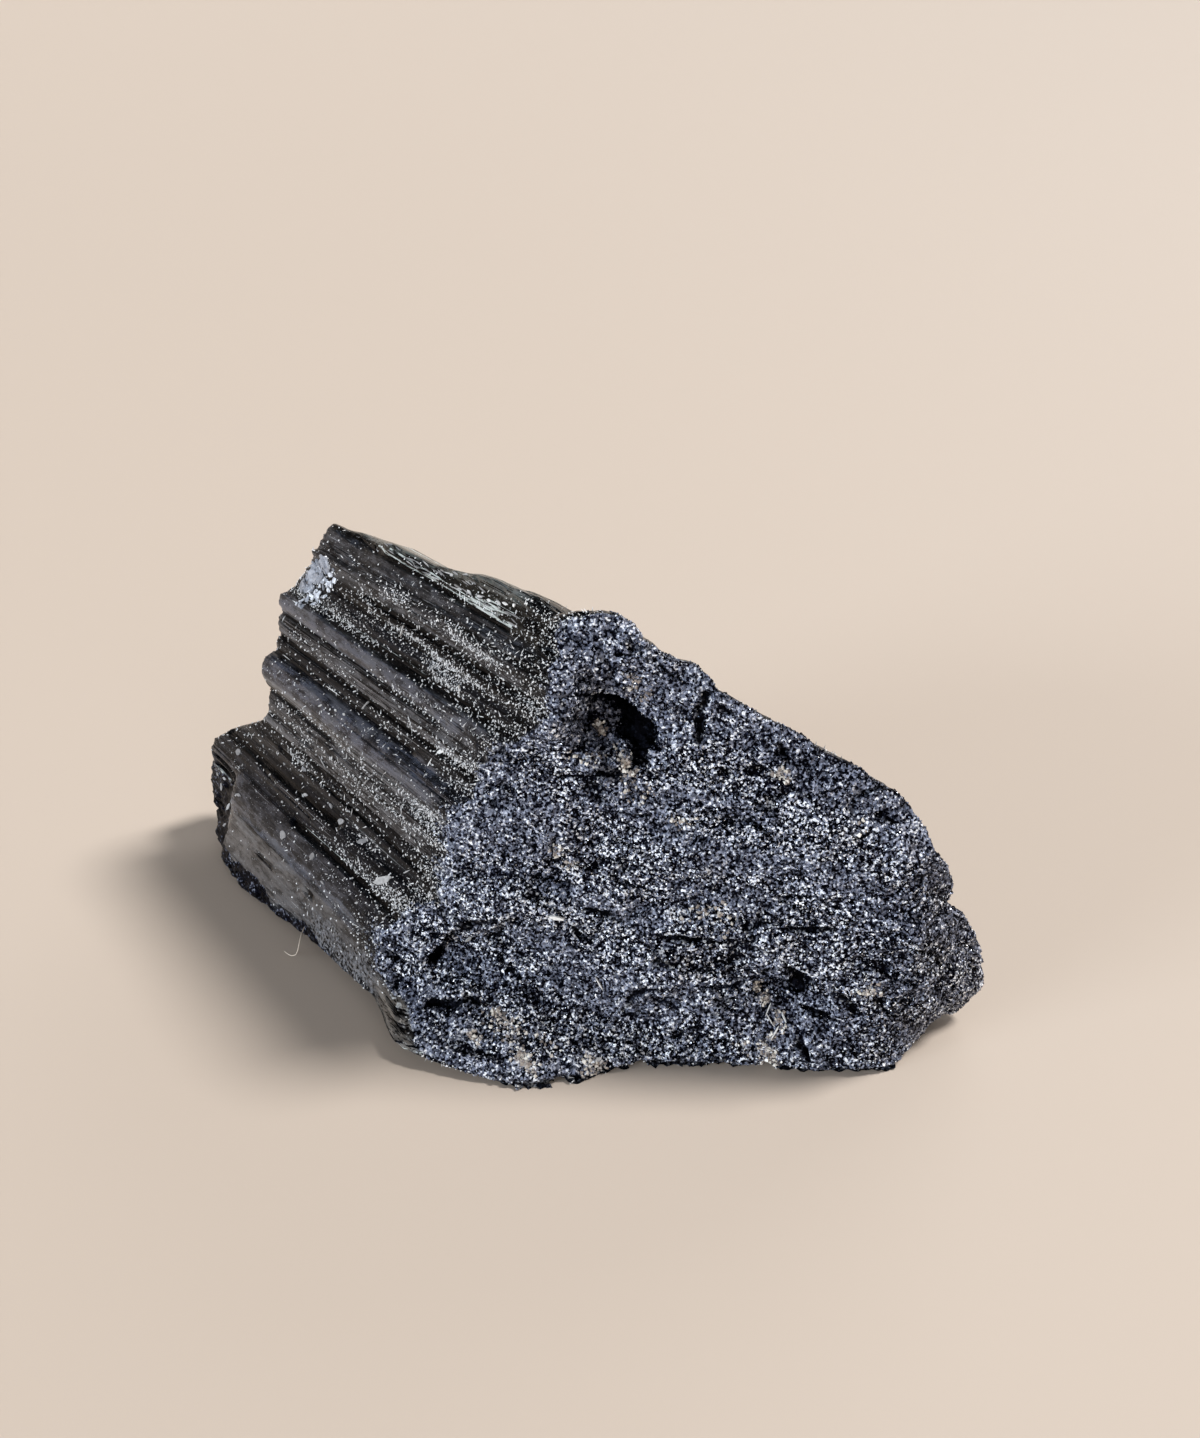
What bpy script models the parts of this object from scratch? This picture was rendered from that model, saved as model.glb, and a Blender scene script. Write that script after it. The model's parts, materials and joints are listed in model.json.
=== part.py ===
"""A broken crystal of black tourmaline (schorl), lying on one face of its prism.

The crystal is one piece. Its prism has the rounded three-sided section that tourmaline grows in, and every
side is ribbed along its length. Both ends are broken: the near one is a wide, grainy break that runs obliquely
across the prism, and the far one is a ragged break where groups of ribs end at different lengths.

The crystal is drawn in its own frame, in millimetres: +Y runs along the prism from the near break to the far
one, +X across it to the right and +Z up, with the table at Z = 0. It is turned and set on the origin at the end.
"""

import math

import bmesh
import bpy
import numpy as np
from mathutils import Vector, noise

MM = 0.001

# ---- Driving dimensions, in millimetres and degrees ----
AXIS_HEADING = 35.0  # the prism points this far to the left of straight back
NEAR_LIMIT, FAR_LIMIT = -42.0, 54.0  # the ribbed bar is made this long, then both ends are broken off
ARC_STEP = 0.9  # spacing of the points round a rib
BREAK_CELL = 1.2  # grid spacing of the broken surfaces
BLOCK_LEFT, BLOCK_RIGHT = -29.0, 31.0  # the grid of the breaks reaches past the prism on every side
BLOCK_LOW, BLOCK_HIGH = -6.0, 48.0

# Corners of the section, going up the flank, down the back and home along the underside. Each row holds the
# place of a groove (x, z) and how far the rib between it and the next groove stands out.
FLANK = [
    (-15.6, 0.0, 0.3),
    (-20.9, 1.7, 0.2),
    (-20.6, 6.6, 0.5),
    (-18.5, 10.6, 0.3),
    (-16.7, 12.6, 0.3),
    (-16.1, 14.8, 0.35),
    (-15.9, 17.0, 0.3),
    (-15.4, 18.8, 0.95),
    (-13.6, 22.4, 0.25),
    (-13.1, 24.0, 0.4),
    (-12.6, 26.0, 0.7),
    (-11.2, 28.7, 0.25),
    (-10.5, 30.1, 0.25),
    (-10.1, 31.6, 0.75),
    (-8.7, 35.7, 0.2),
    (-7.9, 37.0, 0.25),
]
BACK = [
    (-6.7, 38.3, 0.3),
    (-3.0, 35.9, 0.35),
    (1.2, 32.9, 0.25),
    (4.2, 30.8, 0.35),
    (7.6, 28.2, 0.3),
    (10.2, 26.4, 0.25),
    (12.5, 24.3, 0.2),
    (13.3, 20.6, 1.25),
    (16.7, 14.1, 1.05),
    (22.7, 5.3, 0.3),
]
UNDERSIDE = [
    (22.4, 2.0, 0.2),
    (20.6, 0.9, 0.0),
    (15.7, 0.5, 0.0),
    (11.4, 0.0, 0.0),
    (3.4, 0.0, 0.0),
    (2.6, 0.6, 0.0),
    (1.8, 0.0, 0.0),
    (-5.2, 0.0, 0.0),
    (-6.0, 0.7, 0.0),
    (-6.8, 0.0, 0.0),
    (-12.0, 0.0, 0.0),
    (-12.8, 0.5, 0.0),
    (-13.5, 0.0, 0.0),
]
FLAT_BELOW = 0.95  # points of the section under this height belong to the flat that it lies on

# Stations along the bar where its section is drawn, closer where it changes quickly.
STATIONS = [NEAR_LIMIT, -34, -30, -27, -24, -21, -18.5, -16.6, -14.8, -13, -11.2, -9.4, -7, -3.5, 0, 4, 8]
STATIONS += [12, 16, 20, 24, 28, 31.5, 34.6, 36.0, 38.5, 41.5, 45, FAR_LIMIT]

# Each rib drifts in and out along its length.
WANDER, WANDER_ACROSS, WANDER_ALONG = 0.22, 2.2, 20.0
WANDER_RISE = 2.0  # over the flat, the drift sets in over this height

# The bar tapers towards its far end: everything near the back slides down the flank.
FLANK_DOWN = (-0.356, -0.934)
BACK_NORMAL = (0.567, 0.824)
TAPER_FROM, TAPER_TO, TAPER = -9.0, 31.0, 3.1
TAPER_LIMIT = 1.3  # share of the taper that is reached past its end
TAPER_BACK, TAPER_FRONT = 26.0, 20.4  # distance along the back's normal where all or nothing of it moves
CREST_STEPS = [(-3.0, 0.2), (7.0, 0.2), (22.0, 0.2)]  # (y, share of the taper) where a layer of the crest ends
CREST_STEP_RUN = 1.6

# The lower edge of the flank swings out towards the far end: (y, how far out).
FOOT_LINE = [(3.0, 0.0), (16.0, 0.8), (27.0, 2.2), (33.0, 2.0), (40.0, 1.2), (FAR_LIMIT, 0.0)]
FOOT_TOP, FOOT_DROP = 6.0, 0.6

# Knobs and hollows of the sides: (x, y, z) of the middle, radius, and how far they stand out.
KNOBS = [
    ((-4.4, -10.8, 37.4), 3.0, 1.5),
    ((-1.6, -11.6, 35.6), 2.1, 0.6),
    ((0.2, -15.4, 33.9), 1.6, 1.2),
    ((17.4, -26.0, 17.0), 2.8, 0.4),
    ((6.0, 10.0, 28.0), 5.0, -0.8),
    ((16.0, 12.0, 14.0), 5.6, -1.1),
    ((-14.6, -4.0, 16.0), 3.5, -0.5),
]

# The chipped far end of the lowest rib, where its smooth skin has come away.
CHIP_START, CHIP_DEPTH, CHIP_TOP = 35.3, 1.3, 10.5
CHIP_RUN, CHIP_RISE = 1.2, 2.0

# The near break, as y over (x, z): one steep plane across the front, and one square to the prism on the right.
FRONT_PLANE = (-21.2, -0.99, 0.15)
RIGHT_PLANE = (-30.9, 0.06, 0.02)
PLANE_BLEND = 2.5
# Swellings (towards the viewer, negative) and hollows on it: (x, z, half width, half height, depth).
NEAR_RELIEF = [
    (-17.0, -1.5, 6.5, 4.4, -9.5),  # the foot under the left end of the break
    (-8.5, 0.0, 7.5, 3.5, -3.0),
    (-18.4, 10.0, 3.0, 5.0, 2.0),  # the left end set back over the foot
    (-10.6, 32.5, 3.6, 4.6, -5.0),  # the shoulder beside the upper ribs
    (-4.3, 29.2, 2.0, 2.4, 4.2),  # the deep pit near the top
    (-6.5, 26.4, 2.5, 1.1, -1.5),  # the shelf under it
    (-5.0, 36.0, 3.4, 2.4, -1.0),
    (-15.0, 7.4, 2.5, 2.1, 2.2),  # the hollow under the left ledge
    (-12.6, 13.6, 4.6, 1.9, -1.6),
    (-2.6, 18.9, 2.1, 1.9, -1.3),
    (5.6, 20.0, 5.0, 4.6, -1.0),
    (4.6, 6.8, 1.6, 1.8, 2.8),  # the arched hollow low on the right
    (8.0, 30.0, 4.0, 3.5, 1.4),
    (-5.0, 2.8, 5.2, 1.8, 1.2),
    (13.0, 12.0, 3.4, 6.0, -0.8),
    (11.5, 24.5, 3.0, 2.2, 1.0),
    (18.5, 0.0, 5.0, 3.0, 2.3),  # the toe of the right end, worn back
    (-1.5, 0.0, 3.0, 1.5, -0.6),
]
# Ledges: from one end to the other (x, z), the surface above steps forward by this much, fading over a width.
LEDGES = [
    ((-18.2, 6.4), (-12.6, 12.2), -1.7, 3.4),
    ((-18.2, 3.9), (-13.4, 4.9), -1.4, 2.6),
    ((-3.4, 11.9), (3.8, 10.8), -1.3, 3.2),
    ((-4.8, 9.2), (-0.2, 9.7), -1.1, 1.9),
    ((-6.1, 5.8), (-3.0, 6.9), -1.0, 2.2),
    ((-9.0, 24.9), (-5.0, 25.5), -1.0, 1.8),
    ((-4.8, 17.0), (-0.4, 17.4), -0.9, 2.6),
    ((2.5, 9.5), (6.0, 8.2), -1.0, 2.2),
    ((-8.6, 16.0), (-5.4, 14.4), -0.8, 2.4),
    ((7.4, 14.4), (12.6, 12.6), -0.8, 3.0),
    ((2.0, 23.6), (8.0, 21.4), -0.7, 3.0),
]
LEDGE_LIP = 0.8  # height over which a ledge steps forward
LEDGE_END = 0.15  # share of its length over which it starts and stops
# Roughness of a break: how far it swings in all, and the size of its largest lumps.
NEAR_ROUGH, NEAR_ROUGH_SIZE = 0.9, 5.5
GRAIN_ROUGH, GRAIN_ROUGH_SIZE = 0.5, 1.9
ROUGH_OCTAVES = 3

# The far break: how far each height of the flank reaches (z, y). The lowest ribs run on past a ragged notch.
FAR_PROFILE = [(BLOCK_LOW, 31.0), (0.0, 34.0), (1.5, 38.2), (4.5, 41.4), (7.0, 43.2), (10.9, 43.3)]
FAR_PROFILE += [(13.2, 39.1), (15.1, 35.1), (16.5, 33.8), (18.6, 33.3), (19.4, 35.5), (22.2, 36.2)]
FAR_PROFILE += [(24.4, 35.7), (27.4, 36.7), (30.3, 34.2), (33.3, 31.9), (36.3, 30.6), (BLOCK_HIGH, 30.0)]
FLANK_FOOT, FLANK_LEAN = -22.5, 0.38  # the plane of the flank: x at Z = 0, and its lean
FAR_SKIN, FAR_BLEND = 5.0, 8.0  # the profile holds this deep behind the flank, then blends to a sloping break
FAR_BODY, FAR_SLOPE = 35.6, -0.4
FAR_RELIEF = [
    (2.0, 22.0, 6.0, 5.0, 2.5),
    (10.0, 10.0, 6.0, 5.0, -2.8),
    (-4.0, 8.0, 5.0, 5.0, -2.2),
    (-3.0, 29.0, 4.0, 4.0, -1.8),
    (6.0, 26.0, 3.5, 2.5, -1.6),
]
FAR_ROUGH, FAR_ROUGH_SIZE = 1.9, 6.0
FAR_ROUGH_FROM, FAR_ROUGH_RUN = 1.0, 6.0  # behind the flank, the larger lumps set in over this depth

JITTER = 0.3  # share of a cell by which the points of a break are moved about
JITTER_SEED = 7

SCHORL_COLOUR = (0.022, 0.023, 0.027, 1.0)
SCHORL_ROUGHNESS = 0.42


def clear_scene():
    for thing in list(bpy.data.objects):
        bpy.data.objects.remove(thing)


def ramp(value):
    """0 below 0 and 1 above 1, with a soft ramp between them."""
    t = min(1.0, max(0.0, value))
    return t * t * (3 - 2 * t)


def hump(distance_squared):
    """1 in the middle of a knob, fading to nothing past its radius."""
    return math.exp(-distance_squared)


def between(rows, at):
    """Reads a list of (place, value) rows at a place, in straight lines from row to row."""
    places, values = zip(*rows)
    return float(np.interp(at, places, values))


# ---- The section and the ribbed bar ----


def rib_points(start, end, bulge):
    """Points along a rib from its first groove up to, but not including, the next one."""
    a, b = Vector(start), Vector(end)
    along = b - a
    outward = Vector((-along.y, along.x)).normalized()
    count = max(1, round(along.length / ARC_STEP)) if bulge else 1
    points = []
    for i in range(count):
        t = i / count
        points.append(a + along * t + outward * bulge * 4 * t * (1 - t))
    return points


def section():
    """The outline of the prism, as points with the direction that is outward at each."""
    corners = FLANK + BACK + UNDERSIDE
    points = []
    for i, (x, z, bulge) in enumerate(corners):
        x_next, z_next, _ = corners[(i + 1) % len(corners)]
        points += rib_points((x, z), (x_next, z_next), bulge)
    outline = []
    for i, point in enumerate(points):
        tangent = points[(i + 1) % len(points)] - points[i - 1]
        outline.append((point, Vector((-tangent.y, tangent.x)).normalized()))
    return outline


def taper(y):
    """How far the back has slid down the flank at y, with steps where the layers of the crest end."""
    steps = sum(share * ramp((y - at) / CREST_STEP_RUN) for at, share in CREST_STEPS)
    slope = 1.0 - sum(share for _, share in CREST_STEPS)
    along = (y - TAPER_FROM) / (TAPER_TO - TAPER_FROM)
    return TAPER * (slope * min(TAPER_LIMIT, max(0.0, along)) + steps)


def stand_out(x, y, z):
    """How far the bar stands out at a point, from its drift, its knobs and the chip at its far end."""
    drift = noise.noise(Vector((x / WANDER_ACROSS, y / WANDER_ALONG, z / WANDER_ACROSS)))
    push = WANDER * drift * ramp((z - FLAT_BELOW) / WANDER_RISE)
    for middle, radius, height in KNOBS:
        push += height * hump((Vector((x, y, z)) - Vector(middle)).length_squared / radius**2)
    if x < 0:
        push -= CHIP_DEPTH * ramp((y - CHIP_START) / CHIP_RUN) * ramp((CHIP_TOP - z) / CHIP_RISE)
    return push


def bar_point(x, y, z, outward):
    """Where a point of the section sits at station y."""
    if z < FLAT_BELOW:
        return Vector((x, y, z))  # the underside stays flat
    push = stand_out(x, y, z)
    depth = BACK_NORMAL[0] * x + BACK_NORMAL[1] * z
    slide = taper(y) * ramp((depth - TAPER_FRONT) / (TAPER_BACK - TAPER_FRONT))
    swing = between(FOOT_LINE, y) * ramp((FOOT_TOP - z) / FOOT_TOP) if x < 0 else 0.0
    x_new = x + outward.x * push + FLANK_DOWN[0] * slide - swing
    z_new = z + outward.y * push + FLANK_DOWN[1] * slide - FOOT_DROP * swing
    return Vector((x_new, y, z_new))


def make_bar():
    """The ribbed bar: a ring of the section at each station, bridged, with both ends filled."""
    outline = section()
    mesh = bmesh.new()
    rings = []
    for y in STATIONS:
        rings.append([mesh.verts.new(bar_point(point.x, y, point.y, outward)) for point, outward in outline])
    for near, far in zip(rings, rings[1:]):
        for i in range(len(outline)):
            j = (i + 1) % len(outline)
            mesh.faces.new((near[i], near[j], far[j], far[i]))
    mesh.faces.new(rings[0])
    mesh.faces.new(list(reversed(rings[-1])))
    return finish_mesh(mesh, "ribbed_bar")


# ---- The two breaks ----


def soft_larger(a, b, blend):
    """The larger of two heights, with the corner between them rounded."""
    share = ramp(0.5 + 0.5 * (b - a) / blend)
    return a * (1 - share) + b * share + blend * share * (1 - share)


def relief(x, z, humps):
    total = 0.0
    for x_mid, z_mid, half_width, half_height, depth in humps:
        total += depth * hump(((x - x_mid) / half_width) ** 2 + ((z - z_mid) / half_height) ** 2)
    return total


def ledge(x, z, start, end, step, width):
    """A step along a line: the ground just above it stands forward, and comes back over the width."""
    a, b = Vector(start), Vector(end)
    along = b - a
    offset = Vector((x, z)) - a
    t = offset.dot(along) / along.length_squared
    run = 2 * LEDGE_END
    inside = ramp((t + LEDGE_END) / run) * ramp((1 + LEDGE_END - t) / run)
    above = (along.x * offset.y - along.y * offset.x) / along.length
    face = ramp(above / LEDGE_LIP + 0.5) * ramp(1 - above / width)
    return step * inside * face


def rough(x, z, size, layer):
    """Seamless lumps of the given size; each layer number gives another pattern."""
    return noise.fractal(Vector((x / size, z / size, layer)), 1.0, 2.0, ROUGH_OCTAVES)


def near_break(x, z):
    front = FRONT_PLANE[0] + FRONT_PLANE[1] * x + FRONT_PLANE[2] * z
    right = RIGHT_PLANE[0] + RIGHT_PLANE[1] * x + RIGHT_PLANE[2] * z
    y = soft_larger(front, right, PLANE_BLEND) + relief(x, z, NEAR_RELIEF)
    y += sum(ledge(x, z, *row) for row in LEDGES)
    y += NEAR_ROUGH * rough(x, z, NEAR_ROUGH_SIZE, 3.7)
    return y + GRAIN_ROUGH * rough(x, z, GRAIN_ROUGH_SIZE, 9.1)


def far_break(x, z):
    behind = x - (FLANK_FOOT + FLANK_LEAN * z)
    skin = between(FAR_PROFILE, z)
    body = FAR_BODY + FAR_SLOPE * behind + relief(x, z, FAR_RELIEF)
    share = ramp((behind - FAR_SKIN) / FAR_BLEND)
    lumps = FAR_ROUGH * rough(x, z, FAR_ROUGH_SIZE, 5.3) * ramp((behind - FAR_ROUGH_FROM) / FAR_ROUGH_RUN)
    return skin * (1 - share) + body * share + lumps + GRAIN_ROUGH * rough(x, z, GRAIN_ROUGH_SIZE, 1.3)


def break_sheet(mesh, height_of, columns, rows, chance):
    """One broken surface: a grid of points, each moved about a little so that no rows show."""
    sheet = []
    for j in range(rows + 1):
        for i in range(columns + 1):
            edge = i in (0, columns) or j in (0, rows)
            shift = (0, 0) if edge else chance.uniform(-JITTER, JITTER, 2)
            x = BLOCK_LEFT + (BLOCK_RIGHT - BLOCK_LEFT) * (i + shift[0]) / columns
            z = BLOCK_LOW + (BLOCK_HIGH - BLOCK_LOW) * (j + shift[1]) / rows
            sheet.append(mesh.verts.new((x, height_of(x, z), z)))
    for j in range(rows):
        for i in range(columns):
            corner = j * (columns + 1) + i
            quad = [sheet[k] for k in (corner, corner + 1, corner + columns + 2, corner + columns + 1)]
            if (i + j) % 2:
                quad = quad[1:] + quad[:1]  # the diagonals take turns
            mesh.faces.new(quad[:3])
            mesh.faces.new((quad[0], quad[2], quad[3]))


def make_break_block():
    """The block between the two breaks: what the bar keeps is what lies inside it."""
    chance = np.random.default_rng(JITTER_SEED)
    columns = round((BLOCK_RIGHT - BLOCK_LEFT) / BREAK_CELL)
    rows = round((BLOCK_HIGH - BLOCK_LOW) / BREAK_CELL)
    mesh = bmesh.new()
    break_sheet(mesh, near_break, columns, rows, chance)
    break_sheet(mesh, far_break, columns, rows, chance)
    bmesh.ops.bridge_loops(mesh, edges=[e for e in mesh.edges if e.is_boundary])
    return finish_mesh(mesh, "break_block")


# ---- Putting it together ----


def finish_mesh(mesh, name):
    """Turns a bmesh in millimetres into an object in metres, with its faces pointing out."""
    bmesh.ops.recalc_face_normals(mesh, faces=mesh.faces)
    bmesh.ops.scale(mesh, vec=(MM, MM, MM), verts=mesh.verts)
    data = bpy.data.meshes.new(name)
    mesh.to_mesh(data)
    mesh.free()
    thing = bpy.data.objects.new(name, data)
    bpy.context.scene.collection.objects.link(thing)
    return thing


def schorl_material():
    material = bpy.data.materials.new("black_tourmaline")
    material.use_nodes = True
    shader = material.node_tree.nodes["Principled BSDF"]
    shader.inputs["Base Color"].default_value = SCHORL_COLOUR
    shader.inputs["Roughness"].default_value = SCHORL_ROUGHNESS
    shader.inputs["Metallic"].default_value = 0.0
    return material


def break_bar(bar, block):
    """Keeps the part of the bar between the breaks, as a plain mesh."""
    cut = bar.modifiers.new("broken_ends", "BOOLEAN")
    cut.operation = "INTERSECT"
    cut.object = block
    bpy.context.view_layer.update()
    graph = bpy.context.evaluated_depsgraph_get()
    return bpy.data.meshes.new_from_object(bar.evaluated_get(graph))


def set_on_origin(data):
    """Turns the crystal to its heading and puts the middle of its box's floor on the origin."""
    turn = math.radians(AXIS_HEADING)
    drawn = np.array([v.co[:] for v in data.vertices])
    x = drawn[:, 0] * math.cos(turn) - drawn[:, 1] * math.sin(turn)
    y = drawn[:, 0] * math.sin(turn) + drawn[:, 1] * math.cos(turn)
    middle = ((x.min() + x.max()) / 2, (y.min() + y.max()) / 2)
    placed = np.stack([x - middle[0], y - middle[1], drawn[:, 2] - drawn[:, 2].min()], axis=1)
    data.vertices.foreach_set("co", placed.astype(np.float32).ravel())
    data.update()
    print("moved by", round(middle[0], 6), round(middle[1], 6))


def main():
    clear_scene()
    bar = make_bar()
    block = make_break_block()
    data = break_bar(bar, block)
    bpy.data.objects.remove(bar)
    bpy.data.objects.remove(block)
    set_on_origin(data)
    data.name = "tourmaline_crystal"
    data.materials.clear()
    data.materials.append(schorl_material())
    data.shade_flat()
    crystal = bpy.data.objects.new("tourmaline_crystal", data)
    bpy.context.scene.collection.objects.link(crystal)


main()
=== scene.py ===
# %% [markdown]
# # A broken crystal of black tourmaline
#
# The object is one piece of black tourmaline, the kind called schorl. It is a thick prism, ribbed along its
# length, that lies on one of its sides. The end that faces the camera is a wide break, as grainy as coarse
# sugar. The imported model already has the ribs, the ledges and the pits at their real size, so this script
# keeps its shape and adds what is finer than that: hairline grooves, grains, crumbs of dust and the finish of
# each surface.

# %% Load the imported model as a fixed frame
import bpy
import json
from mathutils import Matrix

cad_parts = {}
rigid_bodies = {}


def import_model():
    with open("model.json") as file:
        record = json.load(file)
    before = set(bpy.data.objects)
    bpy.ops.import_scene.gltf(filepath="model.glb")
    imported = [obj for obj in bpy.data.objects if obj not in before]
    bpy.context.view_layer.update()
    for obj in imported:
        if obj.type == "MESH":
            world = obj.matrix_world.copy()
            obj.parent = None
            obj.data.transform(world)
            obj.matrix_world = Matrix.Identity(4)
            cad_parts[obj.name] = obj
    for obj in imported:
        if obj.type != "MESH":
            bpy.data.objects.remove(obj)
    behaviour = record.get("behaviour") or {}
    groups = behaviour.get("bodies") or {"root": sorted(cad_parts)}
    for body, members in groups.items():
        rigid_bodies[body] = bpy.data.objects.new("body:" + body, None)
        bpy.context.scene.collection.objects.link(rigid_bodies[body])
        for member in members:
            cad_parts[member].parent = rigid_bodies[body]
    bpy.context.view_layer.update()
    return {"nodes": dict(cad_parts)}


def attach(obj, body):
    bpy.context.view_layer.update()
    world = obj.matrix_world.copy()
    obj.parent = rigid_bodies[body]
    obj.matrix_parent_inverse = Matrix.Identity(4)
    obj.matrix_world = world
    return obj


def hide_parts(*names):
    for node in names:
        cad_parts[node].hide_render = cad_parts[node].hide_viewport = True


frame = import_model()

import json
import math

import bmesh
import bpy
import numpy as np
from mathutils import Vector
from mathutils.bvhtree import BVHTree

MM = 0.001
NODE = "tourmaline_crystal"

# %% [markdown]
# ## Two frames
#
# The row frame is in metres and its axes follow the box around the crystal. The prism itself is turned 35
# degrees from them, which makes it awkward to say "along the ribs". So the making is done in the prism's own
# frame, in millimetres: Y runs along the ribs, away from the grainy break, X goes across and Z goes up. Two
# small functions go from one frame to the other, and every finished piece is brought back to metres at the
# end.

# %% The prism's own frame
HEADING = math.radians(35.0)
PRISM_FOOT = np.array([2.494, -3.573, 0.0])  # where the prism frame has its origin, in millimetres
TURN = np.array([[math.cos(HEADING), -math.sin(HEADING), 0.0],
                 [math.sin(HEADING), math.cos(HEADING), 0.0],
                 [0.0, 0.0, 1.0]])


def to_prism(points):
    """Row frame in metres to prism frame in millimetres."""
    return (np.asarray(points) / MM - PRISM_FOOT) @ TURN


def to_row(points):
    """Prism frame in millimetres to row frame in metres."""
    return (np.asarray(points) @ TURN.T + PRISM_FOOT) * MM


# %% [markdown]
# ## Camera, floor and light
#
# The camera stands close, about 12 cm from the wide break and 8 cm above the floor, and looks 25 degrees
# down, so the ribs run together quickly towards the far end. The stage is plain: a pale warm floor, a dim
# surround and four soft lamps. Black minerals show little but reflections, so where the lamps stand matters
# more than how strong they are. The main one is nearly overhead and a little to the right, which leaves a
# dark shadow under the ribbed side. A low bluish one from the left lights that side, and two weak ones from
# the front and the back fill the rest.

# %% Camera
IMAGE_LONG_SIDE = 1438.0
FOCAL_IN_PIXELS = 1500.0
SENSOR = 36.0
CAMERA_PLACE = Vector((4.144, -124.493, 80.8)) * MM
CAMERA_DOWN = 25.0


def add_object(name, data):
    """A new object in the scene."""
    thing = bpy.data.objects.new(name, data)
    bpy.context.scene.collection.objects.link(thing)
    return thing


camera_data = bpy.data.cameras.new("camera")
camera_data.sensor_width = SENSOR
camera_data.lens = SENSOR * FOCAL_IN_PIXELS / IMAGE_LONG_SIDE
camera_data.clip_start = 0.005
camera = add_object("camera", camera_data)
camera.location = CAMERA_PLACE
camera.rotation_euler = (math.radians(90.0 - CAMERA_DOWN), 0.0, 0.0)
bpy.context.scene.camera = camera
print("camera lens", round(camera_data.lens, 2), "mm")

# %% Lamps and surround
LAMPS = {
    # name: direction that it shines from, width in degrees, strength, colour
    "overhead": ((0.56, 0.12, 0.82), 14.0, 3.35, (1.0, 0.985, 0.97)),
    "left": ((-0.82, -0.55, 0.15), 28.0, 2.90, (0.78, 0.89, 1.0)),
    "front": ((0.35, -0.80, 0.42), 30.0, 0.42, (0.93, 0.96, 1.0)),
    "back": ((0.45, 0.85, 0.45), 40.0, 0.75, (0.95, 0.97, 1.0)),
}
SURROUND = (0.93, 0.95, 1.0)
SURROUND_STRENGTH = 0.12


def soft_lamp(name, toward, width, strength, colour):
    data = bpy.data.lights.new(name, "SUN")
    data.angle = math.radians(width)
    data.energy = strength
    data.color = colour
    lamp = add_object(name, data)
    lamp.rotation_mode = "QUATERNION"
    lamp.rotation_quaternion = Vector(toward).to_track_quat("Z", "Y")
    lamp.location = Vector(toward)


for lamp_name, lamp_facts in LAMPS.items():
    soft_lamp(lamp_name, *lamp_facts)

world = bpy.data.worlds.new("surround")
world.use_nodes = True
world.node_tree.nodes["Background"].inputs["Color"].default_value = (*SURROUND, 1.0)
world.node_tree.nodes["Background"].inputs["Strength"].default_value = SURROUND_STRENGTH
bpy.context.scene.world = world
bpy.context.scene.view_settings.view_transform = "Standard"
print(len(LAMPS), "soft lamps")

# %% [markdown]
# ## Shader maths as plain expressions
#
# A finish is worked out from many small nodes. Writing `grain * 0.5 + streaks` is easier to read than four
# lines of node links, so one class wraps a node's output socket and turns Python's operators into Math nodes.
# Everything else comes from `node`, which makes any node from its type, its settings and what goes into its
# sockets.

# %% A socket that can be added and multiplied
class Value:
    """One output socket of a shader node, with arithmetic."""

    def __init__(self, tree, socket):
        self.tree = tree
        self.socket = socket

    def maths(self, operation, *others, clamp=False):
        return node(self.tree, "ShaderNodeMath", {"operation": operation, "use_clamp": clamp},
                    {i: v for i, v in enumerate((self, *others))})

    def __add__(self, other):
        return self.maths("ADD", other)

    def __sub__(self, other):
        return self.maths("SUBTRACT", other)

    def __mul__(self, other):
        return self.maths("MULTIPLY", other)

    def __rsub__(self, other):
        return node(self.tree, "ShaderNodeMath", {"operation": "SUBTRACT"}, {0: other, 1: self})

    __radd__ = __add__
    __rmul__ = __mul__

    def clamped(self):
        return self.maths("ADD", 0.0, clamp=True)

    def close_to(self, other, reach):
        """1 within this reach of the other value, and 0 beyond it."""
        return self.maths("COMPARE", other, reach)

    def between(self, low, high):
        """0 below low and 1 above high, with a soft ramp between them."""
        return node(self.tree, "ShaderNodeMapRange", {"interpolation_type": "SMOOTHSTEP"},
                    {"Value": self, "From Min": low, "From Max": high})

    def ramp(self, stops):
        """Reads a list of (place, colour) stops."""
        return node(self.tree, "ShaderNodeValToRGB", {"stops": stops}, {0: self})


# %% Nodes and materials
def set_stops(ramp, stops):
    """Gives a colour ramp its (place, colour) stops."""
    while len(ramp.elements) < len(stops):
        ramp.elements.new(1.0)
    for element, (place, shade) in zip(ramp.elements, stops):
        element.position = place
        element.color = (*shade, 1.0)


def plug(tree, socket, value):
    """Links a Value to a socket, or sets the socket to a plain number, word, vector or colour."""
    if isinstance(value, Value):
        tree.links.new(value.socket, socket)
    elif socket.type == "RGBA":
        socket.default_value = (*value, 1.0)
    else:
        socket.default_value = value


def node(tree, kind, settings=None, sockets=None, output=0):
    """Makes a node: its type, then its settings or stops, then the values or links of its sockets."""
    made = tree.nodes.new(kind)
    for name, value in (settings or {}).items():
        if name == "stops":
            set_stops(made.color_ramp, value)
        else:
            setattr(made, name, value)
    for name, value in (sockets or {}).items():
        plug(tree, made.inputs[name], value)
    return Value(tree, made.outputs[output])


def mix_colour(tree, factor, a, b):
    """a where the factor is 0 and b where it is 1, for colours."""
    return node(tree, "ShaderNodeMix", {"data_type": "RGBA"}, {0: factor, 6: a, 7: b}, output=2)


def new_material(name):
    """An empty Principled material: the material, its tree and its shader."""
    material = bpy.data.materials.new(name)
    material.use_nodes = True
    return material, material.node_tree, material.node_tree.nodes["Principled BSDF"]


def feed(tree, shader, **inputs):
    """Links values to the shader's inputs, or sets them; a word's underscores stand for spaces."""
    for name, value in inputs.items():
        plug(tree, shader.inputs[name.replace("_", " ")], value)


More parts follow.
